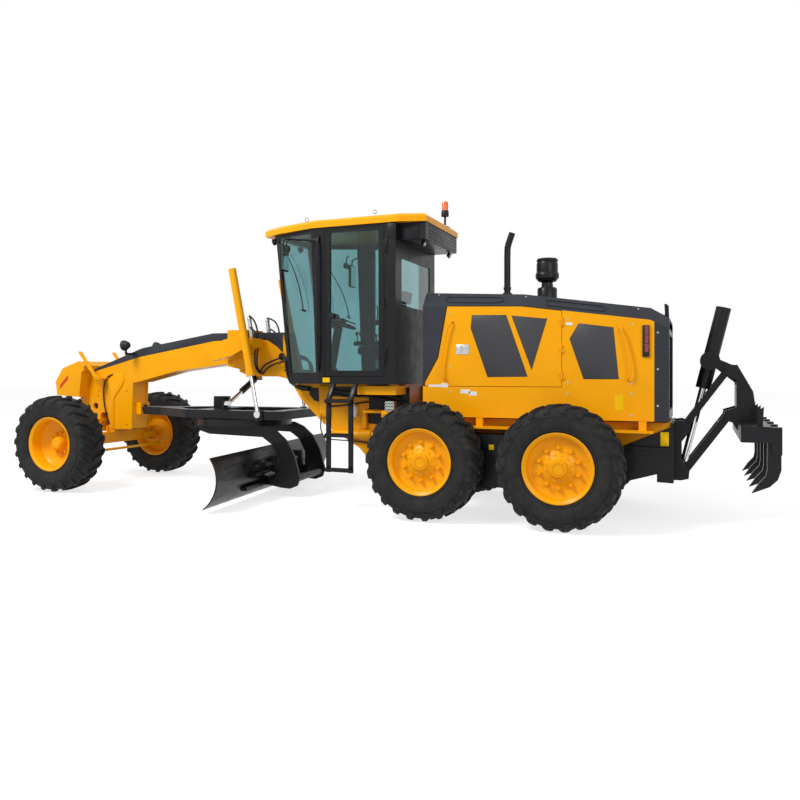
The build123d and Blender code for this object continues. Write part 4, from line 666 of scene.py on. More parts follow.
def tyre_bar():
    bar = made(bpy.ops.mesh.primitive_cube_add, size=1, location=(0.5, 0, 0.5))
    bpy.ops.object.transform_apply(location=True)

    def cut():
        mesh = bmesh.from_edit_mesh(bar.data)
        for edge in mesh.edges:
            a, b = (vertex.co for vertex in edge.verts)
            edge.select = abs(a.x - b.x) > 0.5
        bmesh.update_edit_mesh(bar.data)
        bpy.ops.mesh.select_mode(type="EDGE")
        bpy.ops.mesh.subdivide(number_cuts=9)

    edit(lambda: bpy.ops.mesh.select_all(action="DESELECT"), cut)
    for vertex in bar.data.vertices:
        share, side, height = vertex.co
        vertex.co = bar_point(share, side, height)
    edit(tidy_mesh)
    return rounded(bar, 0.006, 1)


# %% The carcass with its bars
def make_tyre():
    left = [(r, w * TYRE_HALF) for r, w in CARCASS]
    right = [(r, -w * TYRE_HALF) for r, w in reversed(CARCASS[:-1])]
    carcass = turned(left + right, HUB, LEFT, ROUND)
    bar = tyre_bar()
    pitch = math.tau / BARS
    parts = [carcass]
    for i in range(BARS):
        parts.append(copied(bar, Matrix.Rotation(i * pitch, 4, "Y")))
        parts.append(copied(bar, Matrix.Rotation((i + 0.5) * pitch, 4, "Y") @ ACROSS))
    bpy.data.objects.remove(bar)
    for radius, width in SIDE_RINGS:
        for sign in (1, -1):
            ring = [
                (radius + a * 0.008, sign * (width * TYRE_HALF + b * 0.004))
                for a, b in RING_SECTION
            ]
            parts.append(turned(ring, HUB, LEFT, ROUND))
    return joined(parts)


# %% The six tyres
WHEELS = [f"{place}_{side}" for place in ("rear", "middle", "front") for side in ("left", "right")]


def on_wheel(wheel, model, turn, name, material, smooth, stands_for):
    """A copy of a model, turned round the wheel's hub, mirrored for a right wheel."""
    low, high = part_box(f"tyre_{wheel}")
    place = Matrix.Translation((low + high) / 2) @ Matrix.Rotation(turn, 4, "Y")
    twin = copied(model, place if wheel.endswith("left") else place @ ACROSS)
    finished(
        twin, f"{name}_{wheel}", f"wheel_{wheel}", material, smooth, [f"{stands_for}_{wheel}"]
    )


WHEEL_STEP = 0.13  # each wheel has stopped a little further round than the one before
tyre_model = make_tyre()
for i, wheel in enumerate(WHEELS):
    on_wheel(wheel, tyre_model, WHEEL_STEP * i, "tyre_with_bars", rubber, 32, "tyre")
bpy.data.objects.remove(tyre_model)

# %% [markdown]
# ## Rims
# A rim is rolled steel: a flange that holds the bead, a barrel, and a pressed disc. The
# rear ones carry a planetary hub with a ring of small bolts; the front ones are deep,
# with a plain hub cap. Each is one section spun round the hub, which keeps it round and
# closed, with nuts on studs.

# %% Rim sections
FLANGE = [
    (0.372, 0.172), (0.378, 0.18), (0.378, 0.187), (0.371, 0.19), (0.362, 0.186), (0.35, 0.176),
]
BACK_FLANGE = [
    (0.329, -0.15), (0.345, -0.172), (0.362, -0.186), (0.378, -0.187), (0.378, -0.18),
    (0.352, -0.168), (0.346, -0.15), (0.346, 0.15), (0.352, 0.166),
]
REAR_DISC = [
    (0.34, 0.172), (0.331, 0.16), (0.329, 0.12), (0.323, 0.096), (0.3, 0.084),
    (0.23, 0.088), (0.182, 0.094), (0.17, 0.104), (0.152, 0.116), (0.116, 0.124),
    (0.104, 0.134), (0.098, 0.158), (0.088, 0.168), (0.0, 0.168),
]
FRONT_DISC = [
    (0.34, 0.172), (0.331, 0.158), (0.329, 0.06), (0.326, 0.02), (0.3, -0.006),
    (0.25, -0.03), (0.17, -0.05), (0.098, -0.042), (0.092, 0.036), (0.08, 0.058),
    (0.07, 0.07), (0.0, 0.072),
]


# %% Rims with their nuts
def rim(face, back):
    """A rim from its outer face, closed behind along the tyre's seat."""
    disc_back = min(face[5][1], 0.05) - 0.02
    inner = [(0.0, back), (0.12, back), (0.128, back + 0.01), (0.324, disc_back)]
    return turned(FLANGE + face + inner + BACK_FLANGE, HUB, LEFT, 96)


def ring_of(count, radius, along, phase=0.0):
    steps = [math.tau * (i + phase) / count for i in range(count)]
    return [Vector((math.sin(a) * radius, along, math.cos(a) * radius)) for a in steps]


def studs(count, radius, along, length, size):
    """Studs with their nuts and cone washers round the hub."""
    way = Vector((0, length, 0))
    spots = ring_of(count, radius, along)
    parts = [rod(spot, spot + way, size * 0.55, 10, 0.0015) for spot in spots]
    return parts + bolts(ring_of(count, radius, along - 0.002), LEFT, size)


rear_rim = joined([
    rim(REAR_DISC, -0.242),
    *studs(10, 0.215, 0.086, 0.056, 0.028),
    *bolts(ring_of(12, 0.06, 0.166), LEFT, 0.011),
    *bolts(ring_of(12, 0.135, 0.118, 0.5), LEFT, 0.009),
])
front_rim = joined([
    rim(FRONT_DISC, -0.118),
    *studs(10, 0.15, -0.05, 0.05, 0.025),
    *bolts(ring_of(6, 0.048, 0.069), LEFT, 0.009),
])
for wheel in WHEELS:
    model = front_rim if wheel.startswith("front") else rear_rim
    on_wheel(wheel, model, 0, "rim_with_nuts", yellow, 35, "rim")
bpy.data.objects.remove(rear_rim)
bpy.data.objects.remove(front_rim)

# %% [markdown]
# ## Hood fittings
# The doors carry dark perforated panels, yellow grab handles, a latch and small screws.
# Each is a thin plate or a bent bar on the panel's face, made for the left side and
# mirrored to the right.

# %% Hood panels
SHEET = 0.63  # the hood side's face; only the hinges stand out past it
DOOR_PANELS = [
    [(-1.745, 2.349), (-2.151, 2.338), (-2.4, 1.629), (-1.932, 1.623), (-1.727, 2.198)],
    [(-2.215, 2.33), (-2.623, 2.282), (-2.448, 1.704)],
]
QUARTER_PANEL = [
    (-2.976, 2.223), (-3.346, 2.17), (-3.403, 1.604), (-3.028, 1.603), (-2.874, 2.053),
]

PANEL_SEAT = SHEET - 0.012
panels = [side_slab(panel, PANEL_SEAT, 0.013, 0.002) for panel in DOOR_PANELS]
door_pair(panels, "door_mesh", "hood_door", mesh_sheet)
quarter = side_slab(QUARTER_PANEL, PANEL_SEAT, 0.012, 0.002)
paired([quarter], "quarter_mesh", REAR, mesh_sheet)


# %% Grab handles
def grab_handle(top, bottom, lean, off=0.045):
    """A bent bar off the sheet, from its top foot to its bottom foot, with pads under them."""
    (xt, zt), (xb, zb) = top, bottom
    line = [
        (xt, SHEET - 0.004, zt), (xt, SHEET + off, zt), (xt + lean, SHEET + off, zt - 0.1),
        (xb + lean, SHEET + off, zb + 0.12), (xb, SHEET + off, zb), (xb, SHEET - 0.004, zb),
    ]
    parts = [tube(line, 0.011, 4)]
    for x, z in (top, bottom):
        parts.append(rod((x, SHEET - 0.002, z), (x, SHEET + 0.005, z), 0.022, 20, 0.001))
    return parts


handle = grab_handle((-1.5, 2.285), (-1.42, 1.585), 0.055)
door_pair(handle, "door_handle", "hood_door", yellow, 50)
handle = grab_handle((-3.425, 2.165), (-3.5, 1.59), -0.045)
paired(handle, "quarter_handles", REAR, yellow, 50)

# %% Latches
latch = [
    block((-1.713, SHEET - 0.002, 1.89), (-1.546, SHEET + 0.006, 2.006)),
    block((-1.7, SHEET + 0.004, 1.905), (-1.632, SHEET + 0.011, 1.99), 0.003),
    block((-1.622, SHEET + 0.004, 1.908), (-1.56, SHEET + 0.016, 1.988)),
    rod((-1.591, SHEET + 0.014, 1.948), (-1.591, SHEET + 0.02, 1.948), 0.011, 20),
]
door_pair(latch, "door_latch", "hood_door", zinc)

# %% Screws of the hood
SILL_SCREWS = [(-1.485, 1.447), (-1.401, 1.29), (-1.482, 1.222)]
SILL_SCREWS += [(-2.854, 1.442), (-3.539, 1.449), (-3.539, 1.211)]
QUARTER_SCREWS = [(-2.862, 2.27), (-2.857, 1.559), (-3.547, 2.2), (-3.539, 1.558)]
DOOR_SCREWS = [(-1.48, 2.373), (-1.466, 1.75)]
GUARD_SCREWS = [(-3.806, 2.105), (-3.806, 1.712), (-3.806, 1.319)]
SCREW = 0.008


def side_screws(places):
    return bolts([(x, SHEET - 0.001, z) for x, z in places], LEFT, SCREW)


screws = side_screws(SILL_SCREWS + QUARTER_SCREWS + GUARD_SCREWS)
paired(screws, "hood_screws", REAR, zinc)
door_pair(side_screws(DOOR_SCREWS), "door_screws", "hood_door", zinc)

# %% Blank labels and plates
def film(place, face=SHEET, over=0.001):
    """A blank label between two (x, z) corners on a side's face."""
    x0, z0, x1, z1 = place
    return block((x0, face - 0.001, z0), (x1, face + over, z1), 0)


WHITE_LABELS = [  # x and z of one corner, x and z of the other
    (-1.448, 1.497, -1.363, 1.548), (-1.363, 1.503, -1.205, 1.532),
    (-1.72, 1.428, -1.603, 1.478), (-1.804, 1.405, -1.706, 1.452),
    (-2.906, 2.206, -2.829, 2.236),
]
GUSSET_FACE, TANDEM_FACE = 0.505, 0.8355
finished([film(place) for place in WHITE_LABELS], "white_labels", REAR, label_white)
warning = [
    film((-3.912, 0.88, -3.828, 1.03), GUSSET_FACE, 0.002),
    film((-3.45, 1.265, -3.362, 1.436)),
    film((-2.06, 0.8, -2.002, 0.858), TANDEM_FACE),
]
paired(warning, "yellow_labels", REAR, label_yellow)

# %% [markdown]
# ## Cover, tail lamps and stacks
# The dark cover has two long pressed pockets along each side. The tail lamps are red
# lenses in a black body. The pre-cleaner is a ribbed bowl of turned shapes, and the
# exhaust is a bent tube in a collar. A bead round its rim shows a pocket as well as a
# cut would, and follows the slanted side by one small function.

# %% Pockets on the cover
COVER_LEAN = 0.13
COVER_STATIONS = [  # x, height of the slanted side's lower edge and of its top edge
    (-1.13, 2.475, 2.645), (-2.335, 2.437, 2.583), (-3.727, 2.243, 2.381), (-3.92, 2.15, 2.267),
]


def cover_point(x, share):
    """A point of the cover's slanted side: share 0 at its lower edge, 1 at its top edge."""
    for (x1, low1, top1), (x0, low0, top0) in zip(COVER_STATIONS, COVER_STATIONS[1:]):
        if x >= x0:
            part = (x - x0) / (x1 - x0)
            low, top = low0 + (low1 - low0) * part, top0 + (top1 - top0) * part
            return Vector((x, SHEET - COVER_LEAN * share, low + (top - low) * share))
    raise ValueError("behind the cover")


def pocket(front, back):
    """A raised bead round a pocket, as a tube that follows the slanted side."""
    reach = front - back
    line = [(front, 0.72), (front + 0.02, 0.45), (front, 0.28)]
    line += [(front - reach * k, 0.28) for k in (0.33, 0.66)]
    line += [(back, 0.28), (back - 0.02, 0.5), (back, 0.72)]
    line += [(front - reach * k, 0.72) for k in (0.66, 0.33)]
    points = [cover_point(x, share) + Vector((0, 0.004, 0.003)) for x, share in line]
    return tube([*points, points[0]], 0.007, 2)


beads = [pocket(-1.42, -2.09), pocket(-2.61, -3.25)]
paired(beads, "cover_pockets", REAR, charcoal, 50)

# %% Screws of the cover
COVER_SCREWS = [(-1.3, 0.86), (-2.36, 0.8), (-3.6, 0.8)]
slope = Vector((0, 0.17, 0.13)).normalized()
cover_bolts = bolts([cover_point(x, share) for x, share in COVER_SCREWS], slope, SCREW)
paired(cover_bolts, "cover_screws", REAR, zinc)

# %% Tail lamps
body = block((-3.722, 0.628, 1.845), (-3.65, 0.652, 2.186), 0.006)
paired([body], "tail_lamp_bodies", REAR, plastic)
parts = [block((-3.712, 0.646, z), (-3.676, 0.66, z + 0.09)) for z in (1.895, 1.99, 2.085)]
paired(parts, "tail_lamp_lenses", REAR, red_lens, 35, ["tail_lights"])

# %% Exhaust and pre-cleaner
EXHAUST_X, CLEANER_X = -2.013, -2.506
PIPE_LINE = [(0, 2.56), (0, 2.85), (0, 3.19), (-0.01, 3.26), (-0.062, 3.4)]
CLAMP = [(0.04, 2.7), (0.048, 2.7), (0.048, 2.73), (0.04, 2.73)]
COLLAR = [(0.0, 2.56), (0.062, 2.56), (0.062, 2.648), (0.052, 2.66), (0.0, 2.66)]
BOWL = [
    (0.0, 2.52), (0.118, 2.52), (0.118, 2.685), (0.108, 2.702), (0.072, 2.712), (0.066, 2.765),
    (0.112, 2.782), (0.124, 2.806), (0.136, 2.812), (0.142, 2.846), (0.136, 2.88), (0.128, 2.888),
    (0.128, 2.99), (0.121, 3.012), (0.128, 3.022), (0.128, 3.04), (0.118, 3.054), (0.0, 3.054),
]
stacks = [
    tube([(EXHAUST_X + off, 0, z) for off, z in PIPE_LINE], 0.04, 6),
    turned(BOWL, (CLEANER_X, 0, 0), UP),
    *[turned(section, (EXHAUST_X, 0, 0), UP, 48) for section in (CLAMP, COLLAR)],
]
RIBS, RIB_RING = 12, 0.131
for i in range(RIBS):
    angle = math.tau * i / RIBS
    x, y = CLEANER_X + math.cos(angle) * RIB_RING, math.sin(angle) * RIB_RING
    stacks.append(rod((x, y, 2.814), (x, y, 2.876), 0.009, 8, 0))
finished(stacks, "exhaust_and_cleaner", REAR, black, 35, ["stacks"])

# %% Fin at the cover's end
FIN = [(-3.845, 2.3), (-3.9, 2.28), (-3.895, 2.44), (-3.87, 2.462)]
FIN += [(-3.846, 2.462), (-3.852, 2.36)]
fin = side_slab(FIN, -0.006, 0.012, 0.002)
finished([fin], "cover_fin", REAR, black)

# %% [markdown]
# ## Cab fittings
# Seen through green glass: a cloth seat with its headrest and levers, and a steering
# wheel on a sloping column. Outside are mirrors on bent arms, wipers, door handles,
# lifting eyes, work lamps and a beacon. A cushion starts as a finely cut cube, so that
# its faces can swell between the stitched edges.

# %% Seat
def cushion(low, high, crown):
    """A padded block: its faces swell between stitched edges."""
    obj = made(bpy.ops.mesh.primitive_cube_add, size=1)
    size = Vector(high) - Vector(low)
    centre = (Vector(high) + Vector(low)) / 2
    edit(lambda: bpy.ops.mesh.subdivide(number_cuts=9))
    for vertex in obj.data.vertices:
        x, y, z = (c * 2 for c in vertex.co)
        swell = [(1 - y * y) * (1 - z * z), (1 - x * x) * (1 - z * z), (1 - x * x) * (1 - y * y)]
        groove = 0.35 if abs(abs(y) - 0.6) < 0.12 else 1.0
        shape = Vector((x * (1 - 0.05 * z * z * y * y), y * (1 - 0.05 * x * x * z * z), z))
        lift = Vector((
            math.copysign(crown * swell[0], x) * groove if abs(x) > 0.99 else 0,
            math.copysign(crown * swell[1], y) if abs(y) > 0.99 else 0,
            math.copysign(crown * swell[2], z) * groove if abs(z) > 0.99 else 0,
        ))
        vertex.co = centre + shape * size / 2 + lift
    rounded(obj, 0.03, 3, 50)
    modifier = obj.modifiers.new("smooth", "SUBSURF")
    modifier.levels = modifier.render_levels = 1
    bpy.ops.object.modifier_apply(modifier=modifier.name)
    return obj


SEAT_PIVOT = Vector((-0.5, 0, 2.02))
SEAT_LEAN = Matrix.Rotation(math.radians(-9), 4, "Y")


def leaned(obj):
    """Tips a part of the seat's back over."""
    obj.data.transform(
        Matrix.Translation(SEAT_PIVOT) @ SEAT_LEAN @ Matrix.Translation(-SEAT_PIVOT)
    )
    return obj


seat_pieces = [
    (cushion((-0.54, -0.245, 1.905), (-0.08, 0.245, 2.015), 0.014), "seat_cushion"),
    (leaned(cushion((-0.575, -0.24, 2.03), (-0.47, 0.24, 2.56), 0.014)), "seat_back"),
    (leaned(cushion((-0.59, -0.13, 2.59), (-0.51, 0.13, 2.74), 0.01)), "seat_headrest"),
]
for obj, name in seat_pieces:
    finished(obj, name, FRONT, seat_cloth, 60)

# %% Seat base and armrests
FLOOR_Z = 1.6
station = [
    block((-0.5, -0.17, FLOOR_Z), (-0.16, 0.17, 1.72), 0.012),
    block((-0.48, -0.2, 1.86), (-0.12, 0.2, 1.905), 0.01),
]
for i in range(5):  # the suspension's bellows
    z = 1.72 + i * 0.028
    station.append(block((-0.47, -0.16, z), (-0.19, 0.16, z + 0.02), 0.009))
ARM_IN, LEVER_Y = 0.262, 0.31
arm = [
    block((-0.47, ARM_IN, 2.02), (-0.07, 0.355, 2.078), 0.018),
    block((-0.46, ARM_IN, 1.9), (-0.3, 0.325, 2.03), 0.012),
]
for x in (-0.12, -0.17):
    arm.append(rod((x, LEVER_Y, 2.07), (x + 0.015, LEVER_Y, 2.165), 0.007, 12))
    arm.append(rod((x + 0.015, LEVER_Y, 2.155), (x + 0.021, LEVER_Y, 2.2), 0.017, 16, 0.006))

# %% Column, steering wheel and pedals
COLUMN = [(0.4, FLOOR_Z), (0.5, FLOOR_Z), (0.35, 2.335), (0.262, 2.345)]
PANEL = [(0.3, 2.25), (0.43, 2.3), (0.42, 2.47), (0.37, 2.48)]
station += [
    *both_sides(arm),
    side_slab(COLUMN, -0.055, 0.11, 0.02),
    side_slab(PANEL, -0.13, 0.26, 0.02),
]
tilt = Vector((-0.34, 0, 0.94)).normalized()
hub = Vector((0.235, 0, 2.385))
station.append(torus(0.19, 0.014, hub, tilt, 48))
side_way = Vector(LEFT)
fore_way = tilt.cross(side_way).normalized()
for angle in (90, 210, 330):
    way = side_way * math.cos(math.radians(angle)) + fore_way * math.sin(math.radians(angle))
    station.append(rod(hub + way * 0.03, hub + way * 0.186, 0.009, 12))
station.append(rod(hub - tilt * 0.045, hub + tilt * 0.012, 0.038, 24, 0.006))
for y in (-0.15, 0.15):  # pedals
    station.append(block((0.42, y - 0.04, FLOOR_Z), (0.5, y + 0.04, FLOOR_Z + 0.13), 0.012))
finished(station, "operator_station_detail", FRONT, plastic, 35, ["operator_station"])

# %% Mirrors
def mirror(centre, size, deep):
    """A round-cornered housing round a glass."""
    (x, y, z), (half, tall) = centre, size
    back = x - 0.018
    shell = block((back, y - half, z - tall), (back + deep, y + half, z + tall), 0)
    return rounded(shell, 0.035, 4)


LONG_ARM = [
    (0.262, 0.69, 3.33), (0.34, 0.77, 3.345), (0.47, 0.87, 3.345), (0.58, 0.985, 3.345),
    (0.59, 0.99, 3.3), (0.59, 0.99, 3.25),
]
SHORT_ARM = [(0.5, 0.7, 3.36), (0.56, 0.78, 3.36), (0.62, 0.86, 3.36), (0.62, 0.86, 3.28)]
mirrors = [
    mirror((0.58, 0.985, 3.1), (0.098, 0.165), 0.042),
    mirror((0.62, 0.86, 3.245), (0.075, 0.04), 0.034),
    tube(LONG_ARM, 0.011, 4),
    tube(SHORT_ARM, 0.009, 4),
    block((0.235, 0.69, 3.29), (0.33, 0.722, 3.37), 0.006),
]
paired(mirrors, "mirror_housings", FRONT, plastic, 40, ["mirrors"])
face = block((0.5595, 0.903, 2.951), (0.5615, 1.067, 3.249), 0)
paired([face], "mirror_faces", FRONT, mirror_glass)

# %% Beacon
bx, by = -1.101, -0.3
ROOF_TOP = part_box("cab_roof")[1].z
CAP = [(0.0, 3.735), (0.048, 3.735), (0.05, 3.742), (0.05, 3.8), (0.044, 3.812), (0.0, 3.812)]
DOME = [(0.0, 3.808), (0.042, 3.808), (0.043, 3.9), (0.038, 3.925), (0.022, 3.937), (0.0, 3.94)]
foot_low, foot_high = ROOF_TOP - 0.035, ROOF_TOP + 0.004
stalk = [
    rod((bx, by, ROOF_TOP - 0.03), (bx, by, 3.745), 0.014, 20),
    turned(CAP, (bx, by, 0), UP, 40),
    block((bx - 0.05, by - 0.05, foot_low), (bx + 0.05, by + 0.05, foot_high), 0.006),
]
finished(stalk, "beacon_base", FRONT, plastic)
dome = turned(DOME, (bx, by, 0), UP, 48)
finished([dome], "beacon_dome", FRONT, amber_lens)

# %% Lifting eyes
EYE_Y = 0.3
eyes = []
for x, z in ((0.639, 3.715), (-0.353, 3.745)):
    ring = torus(0.024, 0.008, (x, EYE_Y, z - 0.005), LEFT, 32)
    stem = rod((x, EYE_Y, ROOF_TOP - 0.04), (x, EYE_Y, z - 0.03), 0.009, 16)
    foot = rod((x, EYE_Y, ROOF_TOP - 0.035), (x, EYE_Y, ROOF_TOP + 0.012), 0.022, 20)
    eyes += [ring, stem, foot]
paired(eyes, "lifting_eyes", FRONT, zinc)


# %% Work lamps
def work_lamp(centre, way, radius):
    """A lamp bowl that looks one way, and its lens."""
    depth, seat = radius * 1.25, radius * 0.86
    outer = [(0.0, -depth), (radius * 0.55, -depth), (radius * 0.95, -depth * 0.35)]
    inner = [(radius, 0.0), (radius * 0.92, 0.004), (seat, -0.008), (0.0, -0.008)]
    glass = [(0.0, -0.01), (seat, -0.01), (seat, -0.003), (0.0, 0.003)]
    return turned(outer + inner, centre, way, 32), turned(glass, centre, way, 32)


LAMPS = [  # place, way it looks, radius; on the boom, over the screen, at the cab's back
    ((3.7, 0.35, 2.07), (1, 0, -0.08), 0.078),
    ((1.13, 0.35, 3.43), (1, 0, -0.25), 0.046),
    ((-1.12, 0.5, 3.235), (-1, 0, -0.5), 0.04),
]
bowls, glasses = (list(shapes) for shapes in zip(*[work_lamp(*lamp) for lamp in LAMPS]))
BOOM_ARM = [(0.165, 1.95), (0.25, 1.95), (0.352, 1.945), (0.352, 2.0)]
bowls += [
    rod((3.65, 0.35, 1.93), (3.65, 0.35, 2.01), 0.016, 16),
    tube([(3.65, y, z) for y, z in BOOM_ARM], 0.017, 4),
    rod((1.085, 0.35, 3.44), (1.085, 0.35, 3.51), 0.012, 16),
    rod((-1.09, 0.5, 3.24), (-1.09, 0.5, 3.3), 0.012, 16),
]
paired(bowls, "lamp_housings", FRONT, plastic, 40, ["lamps"])
paired(glasses, "lamp_glasses", FRONT, clear_lens)

# %% Cab trim: grab rails and corner plates
CAB_SIDE = 0.715
RAIL_X = 0.236
RAIL_LINE = [(-0.006, 3.4), (0.05, 3.38), (0.052, 2.6), (0.05, 1.72), (-0.006, 1.7)]
trim = [
    tube([(RAIL_X, CAB_SIDE + off, z) for off, z in RAIL_LINE], 0.013, 4),
    block((-0.815, CAB_SIDE - 0.002, 3.3), (-0.7, CAB_SIDE + 0.006, 3.485), 0.003),
    block((-1.08, 0.616, 3.3), (-0.83, 0.628, 3.47), 0.003),
]
for x in (-0.775, -0.74):
    trim += bolts([(x, CAB_SIDE + 0.005, z) for z in (3.32, 3.465)], LEFT, 0.006)
paired(trim, "cab_trim", FRONT, black, 40)

# %% Door grips, wipers and vents
GRIP_LINE = [(0.004, 2.42), (0.045, 2.43), (0.045, 2.62), (0.004, 2.63)]
locks = [
    block((0.02, CAB_SIDE - 0.002, 2.35), (0.09, CAB_SIDE + 0.014, 2.42), 0.005),
    tube([(0.07, CAB_SIDE + off, z) for off, z in GRIP_LINE], 0.009, 4),
]
door_pair(locks, "cab_door_grip", "cab_door", plastic, 40)
WIPER = [(0.485, 0.672, 2.47), (0.5, 0.672, 2.6), (0.63, 0.62, 2.98), (0.8, 0.56, 3.23)]
wiper = [rod((0.455, 0.655, 2.46), (0.51, 0.673, 2.48), 0.014, 16), tube(WIPER, 0.007)]
paired(wiper, "side_wipers", FRONT, plastic, 40)
vents = [block((-1.15, -0.6, 3.284), (-0.83, 0.6, 3.292), 0.003)]
for i in range(4):
    z = 3.32 + 0.045 * i
    vents.append(block((-1.164, -0.5, z), (-1.152, 0.5, z + 0.025), 0.003))
finished(vents, "roof_unit_vents", FRONT, black)

# %% [markdown]
# ## Front end and boom
# The push block carries a red reflecting tape on each side, and the boom a dark band
# below its cap. A tape could be painted on with a texture, but an outline made solid by
# a millimetre or so has cleaner edges and needs no UV map.

# %% Push block tapes
PUSH_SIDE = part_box("push_block")[1].y
TAPE = [(4.776, 1.564), (4.776, 1.633), (4.938, 1.478), (4.938, 1.413)]
tape = side_slab(TAPE, PUSH_SIDE - 0.0005, 0.0015)
paired([tape], "reflecting_tapes", FRONT, tape_red)

# %% Dark bands along the boom's upper sides
BOOM_SIDE = 0.17
BOOM_SEAT = BOOM_SIDE - 0.002  # where what is fixed to the side begins
BAND = [
    (1.081, 2.212), (2.229, 2.222), (3.509, 2.023), (4.47, 1.694), (4.545, 1.64), (4.375, 1.7),
    (3.56, 1.903), (2.207, 2.124), (1.33, 2.122), (1.177, 2.03), (1.081, 1.94),
]
band = side_slab(BAND, BOOM_SIDE - 0.001, 0.003, 0.0005)
paired([band], "boom_bands", FRONT, charcoal)

# %% [markdown]
# ## Under the cab
# Below the cab floor the frame's sides are open to the hydraulics, with hoses, a washer
# bottle, a valve with its ports, and a yellow pipe along the frame. The shade in these
# openings is painted: a thin black plate on the side, which leaves the imported frame whole.
# A hose is a smooth line through a few places, made a round bar.

# %% Painted shade on the frame's sides
FRAME_SIDE = 0.3
FRAME_SEAT = FRAME_SIDE - 0.002  # where what is fixed to the side begins
PIPE_Y = FRAME_SIDE + 0.045
# Outlines of black plates that paint the shade in the frame's openings and recesses
BIG_SHADE_PLATE = [(0.27, 1.36), (0.27, 1.49), (-0.83, 1.49), (-0.83, 1.2)]
BIG_SHADE_PLATE += [(-0.27, 1.2), (-0.27, 1.36)]
SHADE_PLATES = [
    BIG_SHADE_PLATE,
    [(0.6, 1.38), (0.6, 1.47), (0.452, 1.47), (0.452, 1.29), (0.52, 1.3)],
    [(-0.26, 1.02), (-0.26, 1.155), (-0.56, 1.155), (-0.56, 1.0)],
]
# Painted shade: each outline is a black plate 4 mm thick, flush on the frame's side
shade_plates = [side_slab(outline, FRAME_SIDE, 0.004) for outline in SHADE_PLATES]
paired(shade_plates, "frame_painted_shade", FRONT, black)

# %% Frame plates, pipe and valve bracket
FRONT_PLATE = [(0.444, 1.5), (0.289, 1.5), (0.281, 1.094), (0.419, 1.091)]
plates = [
    side_slab(FRONT_PLATE, FRAME_SEAT, 0.042, 0.006),
    block((-0.56, FRAME_SEAT, 1.161), (-0.25, 0.448, 1.192), 0.003),
    block((-0.255, FRAME_SEAT, 0.96), (-0.2, 0.358, 1.2), 0.003),
    block((-0.69, FRAME_SEAT, 1.12), (-0.57, 0.6, 1.2), 0.006),
    rod((0.235, PIPE_Y, 0.88), (-0.48, PIPE_Y, 0.868), 0.05),
    rod((-0.175, PIPE_Y, 0.873), (-0.33, PIPE_Y, 0.871), 0.066),
    block((0.15, FRAME_SEAT, 0.85), (0.2, 0.34, 0.905)),
    block((-0.46, FRAME_SEAT, 0.84), (-0.41, 0.34, 0.895)),
]
FRAME_BOLTS = [(-0.6, 0.598, 1.16), (-0.66, 0.598, 1.16)]
FRAME_BOLTS += [(0.365, FRAME_SIDE + 0.039, z) for z in (1.13, 1.44)]
plates += bolts(FRAME_BOLTS, LEFT, 0.012)
paired(plates, "frame_side_plates", FRONT, yellow)

# %% Valve ports and washer bottle
PORT_PITCH, PORT_FACE = 0.04, 0.596
PORT_RING = [(0.011, 0.0), (0.017, 0.0), (0.017, 0.018), (0.011, 0.018)]
ports = [block((-0.74, 0.5, 1.196), (-0.62, PORT_FACE, 1.316))]
holes = []
for i in range(9):
    x, z = -0.72 + PORT_PITCH * (i // 3), 1.216 + PORT_PITCH * (i % 3)
    ports.append(turned(PORT_RING, (x, PORT_FACE, z), LEFT, 16))
    holes.append(rod((x, PORT_FACE - 0.001, z), (x, PORT_FACE + 0.004, z), 0.0115, 16, 0))
finished(ports, "valve_ports", FRONT, zinc)
finished(holes, "valve_port_caps", FRONT, plastic)
bottle = [
    block((-0.122, FRAME_SEAT, 1.095), (-0.01, 0.395, 1.25), 0.022),
    rod((-0.07, 0.35, 1.245), (-0.07, 0.35, 1.272), 0.024),
]
finished(bottle, "washer_bottle", FRONT, label_white, 50)

# %% Hoses clamped along the frame
CORNER_Y = 0.33
CORNER_RUN = [
    (1.085, 0.16, 1.894), (1.04, 0.26, 1.915), (0.95, CORNER_Y, 1.85),
    (0.92, CORNER_Y, 1.62), (0.85, CORNER_Y, 1.51), (0.69, CORNER_Y, 1.475),
    (0.56, 0.295, 1.47),
]
LINES = [  # radius, places
    (0.011, [
        (0.285, 0.3, 1.23), (0.15, 0.345, 1.238), (-0.04, 0.345, 1.262),
        (-0.2, 0.335, 1.29), (-0.3, 0.296, 1.3),
    ]),
    (0.008, [
        (0.4, 0.335, 1.13), (0.408, 0.352, 1.0), (0.4, 0.35, 0.9),
        (0.345, 0.34, 0.8), (0.15, 0.325, 0.792), (-0.1, 0.325, 0.786),
        (-0.33, 0.3, 0.76),
    ]),
]
for i in range(3):  # three side by side, closer together at both ends
    shift = Vector((0.03 * i, 0.018 * i, 0.022 * i))
    run = [Vector(point) - shift for point in CORNER_RUN]
    run[0], run[-1] = (Vector(CORNER_RUN[k]) - shift * 0.3 for k in (0, -1))
    LINES.append((0.017, run))
for drop, sag in ((0.0, 0.02), (0.045, 0.035)):
    LINES.append((0.013, [
        (0.29, 0.296, 1.455 - drop), (0.15, 0.345, 1.44 - sag - drop),
        (-0.3, 0.365, 1.42 - drop), (-0.7, 0.345, 1.38 - sag - drop),
        (-0.83, 0.296, 1.33 - drop),
    ]))
lines = [tube(places, radius) for radius, places in LINES]
paired(lines, "frame_hoses", FRONT, hose_rubber, 50)

# %% Hose clamps
clamps = [
    block((0.9, 0.16, 1.69), (0.96, 0.352, 1.712), 0.003),
    block((0.59, 0.296, 1.43), (0.64, 0.365, 1.49), 0.005),
    rod((1.1, BOOM_SEAT, 1.894), (1.1, 0.178, 1.894), 0.05),
]
paired(clamps, "hose_clamps", FRONT, black)

